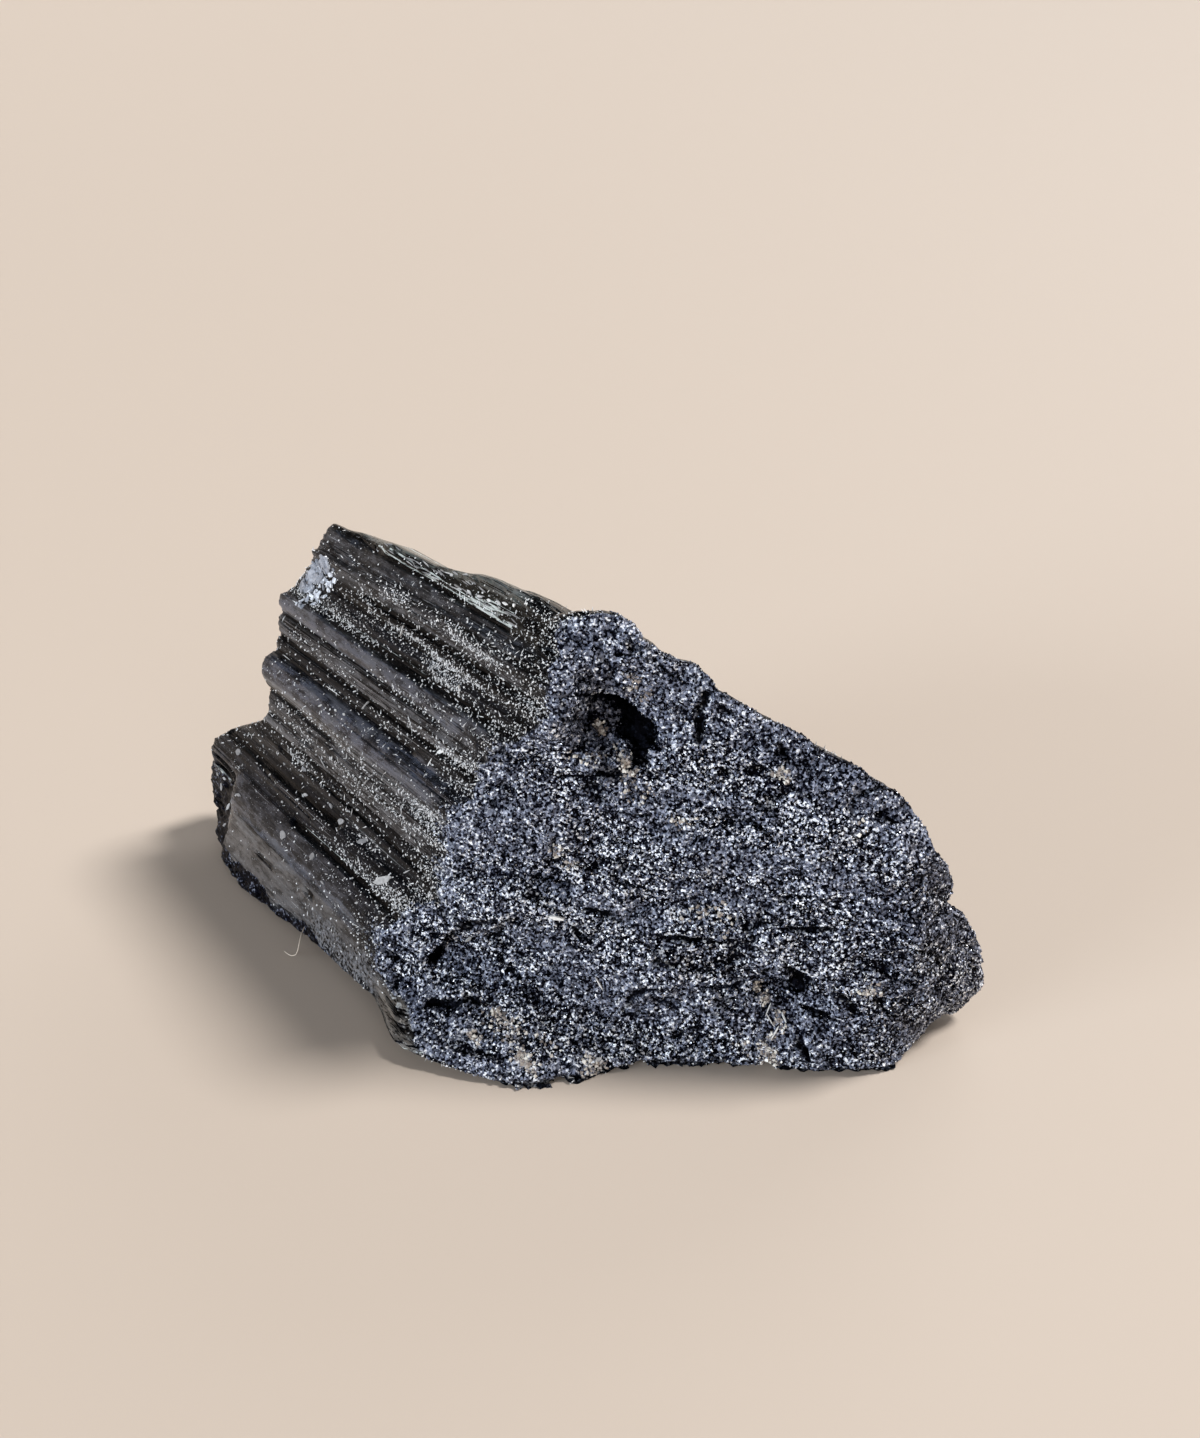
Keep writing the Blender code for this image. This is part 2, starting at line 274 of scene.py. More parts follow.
# %% Notes, places and soft noise
def attribute(tree, name):
    return node(tree, "ShaderNodeAttribute", {"attribute_name": name}, output=2)


def prism_place(tree):
    """Object coordinates turned into the prism's frame, in millimetres."""
    foot = PRISM_FOOT @ TURN
    return node(tree, "ShaderNodeMapping", {}, {
        "Vector": node(tree, "ShaderNodeTexCoord", output=3),
        "Location": tuple(-foot),
        "Rotation": (0.0, 0.0, -HEADING),
        "Scale": (1 / MM, 1 / MM, 1 / MM),
    })


def stretched(tree, place, across, along):
    """The place scaled so that a pattern of size 1 is this many millimetres across and along the ribs."""
    return node(tree, "ShaderNodeVectorMath", {"operation": "MULTIPLY"},
                {0: place, 1: (1 / across, 1 / along, 1 / across)})


def cloud(tree, place, across, along, detail=3.0, roughness=0.55):
    """Soft noise from 0 to 1, with spots of this size in millimetres across and along the ribs."""
    return node(tree, "ShaderNodeTexNoise", {}, {
        "Vector": stretched(tree, place, across, along), "Scale": 1.0, "Detail": detail, "Roughness": roughness})


print("shader helpers ready")

# %% [markdown]
# ## The floor
#
# The floor is a plain pale dish. Flat under the crystal, it rises gently far away, so that it closes the
# background in a low view as well. Its colour matters for the crystal, because the smooth lower facets lean
# towards it and mirror it as a beige strip. It casts no shadow, or its rim would hide the low lamp.

# %% Floor
FLOOR_RINGS = [(0.8, 0.0), (1.3, 0.03), (1.9, 0.11), (2.6, 0.30), (3.4, 0.68), (4.1, 1.25), (4.5, 1.9)]
FLOOR_SIDES = 96
FLOOR_COLOUR = (0.560, 0.475, 0.400)


def make_floor():
    form = bmesh.new()
    rings = []
    for radius, height in FLOOR_RINGS:
        turns = [math.tau * i / FLOOR_SIDES for i in range(FLOOR_SIDES)]
        rings.append([form.verts.new((radius * math.cos(t), radius * math.sin(t), height)) for t in turns])
    form.faces.new(rings[0])
    for inner, outer in zip(rings[:-1], rings[1:]):
        for i in range(FLOOR_SIDES):
            j = (i + 1) % FLOOR_SIDES
            form.faces.new((inner[i], outer[i], outer[j], inner[j]))
    mesh = bpy.data.meshes.new("floor")
    form.to_mesh(mesh)
    form.free()
    mesh.shade_smooth()
    material, tree, shader = new_material("pale_floor")
    feed(tree, shader, Base_Color=FLOOR_COLOUR, Roughness=0.7)
    mesh.materials.append(material)
    floor = add_object("floor", mesh)
    floor.visible_shadow = False


make_floor()
print("floor", 2 * FLOOR_RINGS[-1][0], "m wide")

# %% [markdown]
# ## An even skin for the crystal
#
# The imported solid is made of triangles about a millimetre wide. Hairline grooves need a finer skin, but only
# across the ribs: along them hardly anything changes. So the copy is squeezed to a quarter of its length,
# given an even skin of small squares with a voxel remesh, and stretched back. The squares become strips four
# times as long as they are wide, which spends the faces where the detail is.

# %% A merged copy, and points as rows of numbers
MERGE = 1e-4


def merged_copy(source):
    """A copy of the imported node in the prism's frame, with its loose triangles joined."""
    copy = bmesh.new()
    copy.from_mesh(source.data)
    places = to_prism([v.co[:] for v in copy.verts])
    for vertex, place in zip(copy.verts, places):
        vertex.co = place
    bmesh.ops.remove_doubles(copy, verts=copy.verts, dist=MERGE)
    mesh = bpy.data.meshes.new("merged")
    copy.to_mesh(mesh)
    copy.free()
    return mesh


def numbers(items, name, width, kind=np.float32):
    """One property of many vertices or edges, a row for each."""
    flat = np.empty(len(items) * width, dtype=kind)
    items.foreach_get(name, flat)
    return flat.reshape(-1, width)


def coordinates(mesh):
    return numbers(mesh.vertices, "co", 3).astype(float)


def set_coordinates(mesh, points):
    mesh.vertices.foreach_set("co", np.asarray(points, dtype=np.float32).ravel())
    mesh.update()


def plain_mesh(thing):
    """The evaluated object as a plain mesh."""
    bpy.context.view_layer.update()
    graph = bpy.context.evaluated_depsgraph_get()
    return bpy.data.meshes.new_from_object(thing.evaluated_get(graph))


# %% Remesh a squeezed copy
SQUEEZE = 0.25
VOXEL = 0.22


def even_skin(mesh, voxel):
    squeeze = np.array([1.0, SQUEEZE, 1.0])
    squeezed = mesh.copy()
    set_coordinates(squeezed, coordinates(mesh) * squeeze)
    thing = add_object("squeezed", squeezed)
    remesh = thing.modifiers.new("even", "REMESH")
    remesh.mode = "VOXEL"
    remesh.voxel_size = voxel
    skin = plain_mesh(thing)
    bpy.data.objects.remove(thing)
    set_coordinates(skin, coordinates(skin) / squeeze)
    return skin


merged = merged_copy(frame["nodes"][NODE])
skin = even_skin(merged, VOXEL)
print("merged copy:", len(merged.polygons), "triangles; even skin:", len(skin.polygons), "faces")

# %% [markdown]
# ## Smooth noise, made here
#
# Natural surfaces need irregularity that is the same on every run. A small function gives each point of a
# lattice its own number by mixing its three whole coordinates, and eases between them. Asking for it with a
# different stretch across and along the ribs gives either grains or long streaks.

# %% Lattice noise
MIX_X = 73856093
MIX_Y = 19349663
MIX_Z = 83492791
MIX_SEED = 2654435761
MIX_LAST = 1274126177
LOW_BITS = 0xFFFFFF


def lattice(points, seed):
    """Smooth noise from -1 to 1 with one value a cell."""
    cell = np.floor(points).astype(np.int64)
    part = points - cell
    part = part * part * (3.0 - 2.0 * part)
    total = np.zeros(len(points))
    for corner in np.ndindex(2, 2, 2):
        place = cell + corner
        mixed = place @ np.array([MIX_X, MIX_Y, MIX_Z]) + seed * MIX_SEED
        mixed = (mixed ^ (mixed >> 13)) * MIX_LAST
        value = ((mixed ^ (mixed >> 16)) & LOW_BITS) / LOW_BITS * 2.0 - 1.0
        total += value * np.prod(np.where(corner, part, 1.0 - part), axis=1)
    return total


def patches(points, across, along, seed):
    """Lattice noise with cells of these sizes in millimetres."""
    return lattice(points / np.array([across, along, across]), seed)


def crumbs(points, size, octaves, seed):
    """Noise with finer and finer detail, the same in every direction."""
    total = np.zeros(len(points))
    for octave in range(octaves):
        total += patches(points, size / 2 ** octave, size / 2 ** octave, seed + octave) / 2 ** octave
    return total


print("lattice noise ready")

# %% [markdown]
# ## Which parts are broken and which are grown
#
# Everything finer depends on one question: is this spot a grown side, with ribs, or a broken end, with
# grains? The ribs run along Y, so a grown side never faces along Y, and a break always does to some degree.
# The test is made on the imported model's triangles, averaged with their neighbours so that the wall of one
# small pit doesn't count as a side, and then handed to the nearest points of the skin.

# %% Limits of the broken parts
NEAR_FACING = (0.20, 0.42)  # a near break faces this much against the ribs, from none of it to all of it
FAR_FACING = (0.50, 0.75)   # and a far break this much along them
TORN_START = 35.4           # the low columns are torn off beyond this place along the ribs
TORN_SOFT = 0.8
TORN_TOP = 7.8              # and below this height
TORN_SWAY = 1.2             # how far that edge wanders along the ribs
TOP_SWAY = 0.8              # and how far up and down
STEP_ALONG = (29.0, 31.0)   # the inner wall of the low columns is broken beyond this place
STEP_TOP = 13.0             # and below this height
STEP_FACING = (0.05, 0.35)  # where it faces this much to the right
RAGGED_TOP = 2.3            # the foot of the ribbed side is ragged below this height
RAGGED_ALONG = (9.0, 14.0)  # from here on along the ribs
RAGGED_LEFT = (15.0, 17.0)  # and this far to the left
STRIPED_EDGE = -20.0        # the foot has smooth stripes left of this place
STRIPED_TOP = 4.0           # and below this height
STRIPED_ALONG = (-9.0, 2.0)  # from and to along the ribs
print("low columns torn beyond", TORN_START, "mm along the ribs")

# %% Easing, and averaging over neighbours
FACING_ROUNDS = 2


def ease(values, low, high):
    """0 below low and 1 above high, eased between them."""
    part = np.clip((values - low) / (high - low), 0.0, 1.0)
    return part * part * (3.0 - 2.0 * part)


def fall(values, low, high):
    """1 below low and 0 above high, eased between them."""
    return ease(-values, -high, -low)


def below(values, limit, soft):
    """1 below the limit and 0 above it, eased this far to both sides."""
    return fall(values, limit - soft, limit + soft)


def within(values, low, high, soft):
    """1 from low to high and 0 outside, eased this far to both sides of each."""
    return ease(values, low - soft, low + soft) * below(values, high, soft)


def edges_of(mesh):
    return numbers(mesh.edges, "vertices", 2, np.int32)


def neighbour_mean(values, edges, rounds):
    """Each value averaged with its neighbours, round after round."""
    a, b = edges.T
    count = np.bincount(a, minlength=len(values)) + np.bincount(b, minlength=len(values))
    for _ in range(rounds):
        total = (np.bincount(a, weights=values[b], minlength=len(values))
                 + np.bincount(b, weights=values[a], minlength=len(values)))
        values = (values + total) / (1 + count)
    return values


def vertex_normals(mesh):
    return numbers(mesh.vertices, "normal", 3).astype(float)


def facing_along(source, points):
    """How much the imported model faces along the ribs, near each of the points."""
    facing = neighbour_mean(vertex_normals(source)[:, 1], edges_of(source), FACING_ROUNDS)
    corners = coordinates(source)
    triangles = [tuple(p.vertices) for p in source.polygons]
    tree = BVHTree.FromPolygons([Vector(c) for c in corners], triangles)
    nearest = [tree.find_nearest(Vector(p))[2] for p in points]
    return np.array([facing[list(t)].mean() for t in triangles])[nearest]


# %% Broken or grown
SKIN_FACING_ROUNDS = 3
MARGIN_ROUNDS = 40

base = coordinates(skin)
skin_edges = edges_of(skin)
facing = neighbour_mean(facing_along(merged, base), skin_edges, SKIN_FACING_ROUNDS)
near_break = ease(-facing, *NEAR_FACING)
torn = ease(base[:, 1] + TORN_SWAY * patches(base, 1.6, 1.6, 7), TORN_START, TORN_START + TORN_SOFT)
torn *= below(base[:, 2] + TOP_SWAY * patches(base, 1.4, 1.4, 8), TORN_TOP, 0.4)
ragged = below(base[:, 2] + TOP_SWAY * crumbs(base, 2.0, 2, 9), RAGGED_TOP, 0.3)
ragged *= ease(base[:, 1], *RAGGED_ALONG) * ease(-base[:, 0], *RAGGED_LEFT)
step = ease(base[:, 1], *STEP_ALONG) * fall(base[:, 2], STEP_TOP - 2.0, STEP_TOP)
step *= ease(vertex_normals(skin)[:, 0], *STEP_FACING)
far_break = np.max([ease(facing, *FAR_FACING), torn, ragged, step], axis=0)
striped = below(base[:, 0], STRIPED_EDGE, 0.4) * below(base[:, 2], STRIPED_TOP, 0.4)
striped *= within(base[:, 1], *STRIPED_ALONG, 1.0)
near_break *= 1.0 - striped
broken = np.maximum(near_break, far_break)
margin = neighbour_mean(near_break, skin_edges, MARGIN_ROUNDS)
print("broken share of the skin:", round(float(broken.mean()), 2))

# %% [markdown]
# ## Cutting the surface
#
# The grown sides get hairline grooves along the ribs. The wide break gets lumps and grains, and the cracks
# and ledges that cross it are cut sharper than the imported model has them. Each crack is a short line of
# places on the surface, a width and a depth. Everything is one move of each point along its own normal, so
# the skin stays closed.

# %% Cracks and ledges
CRACKS = [
    # points of a crack on the wide break: place across, height and width there, in millimetres
    [(-17.3, 6.4, 0.3), (-16.6, 7.4, 0.7), (-16.1, 8.9, 0.6), (-15.3, 11.0, 0.35), (-14.2, 12.0, 0.25),
     (-13.3, 12.4, 0.15)],
    [(-18.7, 3.7, 0.2), (-18.0, 4.0, 0.35), (-17.1, 4.2, 0.22), (-16.1, 4.5, 0.35), (-14.7, 4.7, 0.15)],
    [(-3.2, 11.5, 0.25), (-2.7, 11.7, 0.45), (-1.8, 11.9, 0.45), (-0.4, 11.6, 0.25), (1.5, 11.6, 0.3),
     (2.7, 11.4, 0.12)],
    [(-4.7, 9.5, 0.15), (-4.0, 9.5, 0.45), (-2.8, 9.5, 0.15)],
    [(-5.9, 4.6, 0.12), (-5.7, 5.8, 0.25), (-5.1, 6.8, 0.35), (-3.9, 7.1, 0.15)],
    [(-0.7, 9.3, 0.12), (-0.1, 9.4, 0.28), (0.8, 9.4, 0.12)],
    [(2.9, 8.1, 0.2), (3.0, 9.2, 0.4), (3.9, 9.8, 0.6), (5.2, 8.5, 0.75), (5.7, 6.7, 0.4)],
    [(5.6, 5.5, 0.2), (6.4, 5.3, 0.45), (6.8, 5.3, 0.2)],
    [(7.1, 7.7, 0.2), (7.6, 7.0, 0.35), (8.0, 6.0, 0.2)],
    [(4.5, 13.4, 0.15), (5.3, 13.4, 0.3), (6.3, 13.5, 0.3), (7.0, 13.7, 0.12)],
    [(-7.9, 13.7, 0.15), (-6.8, 13.2, 0.35), (-6.1, 12.6, 0.15)],
    [(4.8, 2.9, 0.2), (4.7, 2.3, 0.4), (4.8, 1.7, 0.25)],
    [(-6.1, 30.6, 0.35), (-6.4, 31.7, 0.55), (-5.5, 31.8, 0.75), (-4.2, 31.0, 0.95), (-3.2, 30.2, 1.0),
     (-2.8, 29.2, 0.9), (-3.0, 28.2, 1.0), (-3.1, 27.4, 0.7), (-3.3, 26.5, 0.35)],
    [(0.5, 32.7, 0.35), (0.4, 31.6, 0.22), (0.1, 30.4, 0.35), (-0.1, 29.6, 0.45), (-0.5, 28.8, 0.15)],
    [(1.4, 31.9, 0.25), (1.6, 31.4, 0.25)],
    [(4.5, 29.1, 0.25), (4.7, 28.5, 0.4), (4.9, 27.8, 0.2)],
    [(-8.7, 25.2, 0.2), (-8.3, 25.0, 0.5), (-7.5, 25.2, 0.4), (-6.5, 25.6, 0.35), (-5.2, 25.6, 0.15)],
    [(1.2, 26.6, 0.15), (1.5, 26.3, 0.35), (1.9, 26.1, 0.15)],
    [(-8.0, 0.1, 0.2), (-6.6, 0.3, 0.35), (-4.4, 0.5, 0.35), (-3.3, 0.6, 0.2)],
    [(15.0, 10.0, 0.3), (15.3, 9.4, 0.3)],
]
print(len(CRACKS), "cracks and ledges")

# %% Depth of the cracks
CRACK_DEPTH = 1.0  # deep for each millimetre of width
CRACK_BEND = 0.22
CRACK_WIDTH = 1.15


def line_distance(points, line):
    """Distance from each point to a line across the break, less half of the line's width there."""
    best = np.full(len(points), np.inf)
    width = np.zeros(len(points))
    for start, end in zip(line[:-1], line[1:]):
        first, last = np.array(start[:2]), np.array(end[:2])
        run = last - first
        share = np.clip((points - first) @ run / (run @ run), 0.0, 1.0)
        wide = CRACK_WIDTH * (start[2] + share * (end[2] - start[2]))
        far = np.linalg.norm(points - first - share[:, None] * run, axis=1) - wide / 2
        width = np.where(far < best, wide, width)
        best = np.minimum(best, far)
    return best, width


def cut_depth(points):
    """How deep the cracks go below each point of the wide break, and a mask of the painted shade inside them."""
    bend = np.stack([crumbs(points, 0.9, 2, seed) for seed in (11, 21)], axis=1)
    flat = points[:, [0, 2]] + CRACK_BEND * bend
    depth = np.zeros(len(points))
    black = np.zeros(len(points))
    for line in CRACKS:
        far, width = line_distance(flat, line)
        depth = np.maximum(depth, CRACK_DEPTH * width * fall(far, -0.10, 0.25))
        # painted shade: the mask that paints each crack black, to a little beyond its edges
        black = np.maximum(black, fall(far, -0.02, 0.16))
    return depth, black


# %% [markdown]
# ## Seams and calm plates
#
# The wide break isn't evenly grainy. Thin seams run down across it to the right, and between them lie plates
# of even slate that glitter less. They could be listed one by one as the cracks are, but there are too many,
# and none stands out. So both come from the same lattice noise, drawn out along one slanting direction.

# %% Seams and calm plates of the wide break
SEAM_SLOPE = math.radians(24.0)
SEAM_STRETCH = 3.2
SEAM_SPACING = 1.5
SEAM_FINE_SPACING = 0.6
SEAM_DEPTH = 0.30
CALM_SIZE = 2.0
CALM_FINE_SIZE = 0.8
CALM_RIM = (0.70, 0.97)  # the margin note is between these near the rim, which has more calm plates
CALM_TOP = (27.0, 31.0)  # and so has the upper end, above these heights


def along_seams(points, size):
    """Places on the wide break in units of this size, squeezed along the direction of its seams."""
    cos, sin = math.cos(SEAM_SLOPE), math.sin(SEAM_SLOPE)
    along = (points[:, 0] * cos - points[:, 2] * sin) / SEAM_STRETCH
    across = points[:, 0] * sin + points[:, 2] * cos
    return np.stack([along, points[:, 1] / SEAM_STRETCH, across], axis=1) / size


def seams_of(points):
    """1 in the middle of a thin seam."""
    fine = lattice(along_seams(points, SEAM_FINE_SPACING), 32)
    ridge = np.abs(lattice(along_seams(points, SEAM_SPACING), 31) + 0.4 * fine)
    gate = ease(patches(points, 3.5, 3.5, 33), -0.25, 0.45)
    return fall(ridge, 0.05, 0.15) * gate


def calm_of(points):
    """1 on plates of even slate, between the glittering parts."""
    fine = lattice(along_seams(points, CALM_FINE_SIZE), 35)
    wide = lattice(along_seams(points, CALM_SIZE), 34) + 0.5 * fine
    return ease(wide + 1.2 * fall(margin, *CALM_RIM) + 0.9 * ease(points[:, 2], *CALM_TOP), -0.45, 0.45)


print("seams about every", SEAM_SPACING, "mm")


# %% [markdown]
# ## Grooves and ribs
#
# The grooves in this table are the ones that stand out, each at its own height and over its own stretch of
# the ribs. They could all be noise, but the eye knows the large ones by their places. The finer ribs are
# noise, stretched many times further along the crystal than across it and taken in several widths. A few
# columns are smoother than the rest, and one patch at the foot, next to the break, is granular.

# %% Grooves on the grown sides
GROOVES = [
    # height, where it starts and ends along the ribs, half width, depth, in millimetres
    (36.0, -11.0, -7.8, 0.3, 0.55), (35.6, -2.5, 31.0, 0.16, 0.3), (34.15, -11.0, 5.0, 0.16, 0.3),
    (31.75, -9.5, 21.0, 0.22, 0.35), (30.6, 8.0, 27.0, 0.28, 0.35), (28.45, -8.0, 27.0, 0.25, 0.3),
    (26.05, 3.0, 36.0, 0.16, 0.28), (23.85, -6.0, 36.0, 0.18, 0.25), (22.4, 6.0, 36.0, 0.16, 0.25),
    (18.95, 19.0, 36.0, 0.16, 0.25), (17.45, 4.0, 18.5, 0.14, 0.22), (16.75, 23.0, 33.0, 0.14, 0.2),
    (15.35, -6.0, 35.0, 0.22, 0.35), (14.2, 0.0, 30.0, 0.2, 0.25), (12.15, 15.0, 43.0, 0.2, 0.3),
    (10.15, 1.0, 22.0, 0.22, 0.35), (9.1, 35.5, 42.5, 0.28, 0.5), (8.2, 35.5, 42.0, 0.26, 0.5),
    (6.35, 21.0, 33.0, 0.12, 0.1), (4.75, 23.5, 27.5, 0.14, 0.25), (5.7, 14.8, 16.6, 0.3, 0.35),
    (3.2, -11.0, 0.0, 0.16, 0.3), (2.5, -9.0, 2.0, 0.16, 0.3), (3.9, -10.0, -2.0, 0.14, 0.22),
]
GROOVED_FACING = (0.15, 0.45)  # how much a grooved side faces to the left, from no groove to a full one
GROOVE_RUN_OUT = 0.8


def groove_depth(points, normals):
    """Depth of the listed grooves, which lie on the ribbed side only."""
    left = ease(-normals[:, 0], *GROOVED_FACING)
    level = points[:, 2] + 0.12 * patches(points, 6.0, 14.0, 91)
    total = np.zeros(len(points))
    for height, start, end, half, deep in GROOVES:
        run = within(points[:, 1], start, end, GROOVE_RUN_OUT)
        line = fall(np.abs(level - height), 0.4 * half, 1.4 * half + 0.10)
        total = np.maximum(total, deep * run * line)
    return total * left


print(len(GROOVES), "grooves")

# %% Smooth columns and the granular patch
SMOOTH_COLUMNS = [(2.4, 10.1), (12.3, 13.9), (20.2, 22.2), (26.2, 28.2), (34.3, 35.7)]  # from and to a height
SMOOTHNESS = 0.8
SMOOTH_ALONG = (-4.0, 12.0)
ROUGH_TOP = (4.3, 5.3)  # the granular patch fades out between these heights
ROUGH_START = (0.5, 3.0)  # fades in between these places along the ribs
ROUGH_END = (13.0, 15.5)  # and out between these
ROUGH_LEFT = (14.0, 16.0)  # it fades in this far to the left
ROUGH_SWAY = 1.2


def ribbing_of(points):
    """1 where a grown side is finely ribbed, and low on the smooth columns of the ribbed side."""
    calm = np.zeros(len(points))
    for low, high in SMOOTH_COLUMNS:
        inside = ease(points[:, 2], low - 0.2, low + 0.3) * fall(points[:, 2], high - 0.3, high + 0.2)
        calm = np.maximum(calm, inside)
    return 1.0 - SMOOTHNESS * calm * ease(points[:, 1], *SMOOTH_ALONG)


def rough_patch(points):
    """1 on the granular patch low on the ribbed side, next to the wide break."""
    sway = ROUGH_SWAY * crumbs(points, 2.4, 2, 53)
    low = fall(points[:, 2] + sway, *ROUGH_TOP)
    along = points[:, 1] + sway
    return low * ease(along, *ROUGH_START) * fall(along, *ROUGH_END) * ease(-points[:, 0], *ROUGH_LEFT)


print(len(SMOOTH_COLUMNS), "smooth columns")

# %% Moves along the normal
RIB_NOISES = {
    # name: how far it moves the surface, its size across and along the ribs, seed
    "ribs": (0.05, 1.3, 60.0, 41),
    "lines": (0.035, 0.55, 40.0, 42),
    "threads": (0.03, 0.30, 22.0, 43),
    "tears": (0.10, 0.50, 9.0, 47),
    "nicks": (0.07, 0.7, 2.2, 48),
}
HAIRLINE_DEPTH = 0.10
CHIP_DEPTH = 0.16
CRUMBLE_MOVE = 0.12
CREST = (36.2, 37.0)  # the crest is torn above these heights
LUMP_MOVE, LUMP_SIZE = 0.13, 3.0
GRAIN_MOVE, GRAIN_SIZE = 0.14, 0.7


def rib_noise(points, name):
    """One of the listed noises, as a move in millimetres."""
    strength, across, along, seed = RIB_NOISES[name]
    return strength * patches(points, across, along, seed)


def groove_move(points):
    """The move of a grown side along its normal, in millimetres."""
    lines = rib_noise(points, "lines") + rib_noise(points, "threads")
    hairlines = -HAIRLINE_DEPTH * fall(np.abs(patches(points, 0.9, 50.0, 44)), 0.01, 0.08)
    chips = ease(patches(points, 0.7, 2.6, 45), 0.50, 0.75)
    chipped = -CHIP_DEPTH * chips * ease(patches(points, 4.0, 9.0, 46), 0.0, 0.6)
    torn_crest = ease(points[:, 2], *CREST) * (rib_noise(points, "tears") + rib_noise(points, "nicks"))
    crumbly = CRUMBLE_MOVE * crumbs(points, 0.8, 2, 51) * np.maximum(ease(margin, 0.02, 0.5), rough_patch(points))
    return (rib_noise(points, "ribs") + lines + hairlines + chipped) * ribbing_of(points) + torn_crest + crumbly


def break_move(points):
    """The move of a broken end along its normal, in millimetres."""
    lumps = LUMP_MOVE * crumbs(points, LUMP_SIZE, 2, 61)
    grains = GRAIN_MOVE * crumbs(points, GRAIN_SIZE, 3, 71)
    return lumps + grains - SEAM_DEPTH * seams_of(points)


print(len(RIB_NOISES), "noises for the ribs")

# %% [markdown]
# ## Larger moves
#
# A few forms can't be made by a move along the normal. A thin sliver lifts off along the crest, the foot
# swells to the left, two far corners stand out, and the foot of the wide break steps back so that it meets
# the floor in a thin shadow. They are moves along the axes, each eased in between a few places.

# %% Sliver, foot and corners
SLIVER_LIFT = [(-9.0, 0.0), (-6.5, -0.4), (-4.0, 0.3), (-1.0, 0.8), (2.0, 0.95), (5.0, 0.85), (9.0, 0.5),
               (13.0, 0.35), (19.0, 0.5), (24.0, 0.85), (26.5, 0.7), (29.0, 0.0)]  # along the ribs, and its rise
SLIVER_PLACE = -6.0  # across the ribs, behind the pale strip
SLIVER_REACH = 2.4
SLIVER_FILM = (-5.7, 2.3)  # across the ribs, the middle and the reach of its smooth grey-green film
FILM_FOOT = (33.0, 34.0)  # the film fades in between these heights
FILM_START = (-4.5, -2.5)  # fades in between these places along the ribs
FILM_END = (28.0, 29.5)  # and fades out between these
TOP_CORNER = 0.9  # how far the upper far corner stands out
LOW_CORNER = 1.2  # how far the torn corner stands out
FOOT_SWELL = 1.7  # how far the foot stands out at most
FOOT_PLACE = (-5.0, 8.0, 4.5)  # along the ribs, its reach that way, and its height
FOOT_LEFT = (14.0, 19.0)
TOP_CORNER_AT = ((32.5, 35.5), (24.0, 30.0), (5.0, 8.0))  # above, beyond and left of these places
LOW_CORNER_AT = ((5.5, 8.0), (34.0, 38.5), (14.0, 18.0))  # below, beyond and left of these


def sliver_on(points):
    """1 on the thin upper sliver of the crest."""
    middle, reach = SLIVER_FILM
    across = fall(np.abs(points[:, 0] - middle), 0.70 * reach, reach)
    along = points[:, 1]
    return across * ease(points[:, 2], *FILM_FOOT) * ease(along, *FILM_START) * fall(along, *FILM_END)


def larger_moves(points):
    """Moves that aren't along the normal: the sliver rises, the foot swells and two far corners stand out."""
    moves = np.zeros_like(points)
    rise = np.interp(points[:, 1], *zip(*SLIVER_LIFT))
    across = fall(np.abs(points[:, 0] - SLIVER_PLACE), 0.35 * SLIVER_REACH, SLIVER_REACH)
    moves[:, 2] = rise * across * ease(points[:, 2], 33.0, 34.5)
    middle, reach, top = FOOT_PLACE
    along = fall(np.abs(points[:, 1] - middle), 0.0, reach)
    moves[:, 0] = -FOOT_SWELL * along * fall(points[:, 2], 0.25 * top, top) * ease(-points[:, 0], *FOOT_LEFT)
    above, beyond, left = TOP_CORNER_AT
    corner = ease(points[:, 2], *above) * ease(points[:, 1], *beyond) * ease(-points[:, 0], *left)
    under, beyond, left = LOW_CORNER_AT
    low_corner = fall(points[:, 2], *under) * ease(points[:, 1], *beyond) * ease(-points[:, 0], *left)
    moves[:, 1] = TOP_CORNER * corner + LOW_CORNER * low_corner
    moves[:, 2] += 0.5 * TOP_CORNER * corner
    return moves


print("the sliver rises up to", max(rise for place, rise in SLIVER_LIFT), "mm")

# %% Move the skin
UNDERCUT = 0.9  # how far the foot of the wide break steps back
UNDERCUT_TOP = 0.75  # from this height down

undercut = fall(base[:, 2], 0.35 * UNDERCUT_TOP, UNDERCUT_TOP) * near_break
points = base + larger_moves(base)
points[:, 1] += UNDERCUT * undercut
normals = vertex_normals(skin)
# the second mask is the painted shade of the cracks
cuts, black = [mask * near_break for mask in cut_depth(base)]
grooves = groove_depth(base, normals) * (1.0 - broken)
move = (1.0 - broken) * groove_move(base) + broken * break_move(base) - cuts - grooves
points += normals * move[:, None]
points[:, 2] = np.maximum(points[:, 2], 0.0)
print("moves from", round(float(move.min()), 2), "to", round(float(move.max()), 2), "mm")

# %% [markdown]
# ## Notes written on the skin
#
# The finish needs to know things that a shader can't work out: where the break is, how close it is, how deep
# a crack goes and where pale residue is left. They are stored on the skin's points as plain numbers from 0 to
# 1. The Geometry Nodes trees further on read the same numbers as densities.

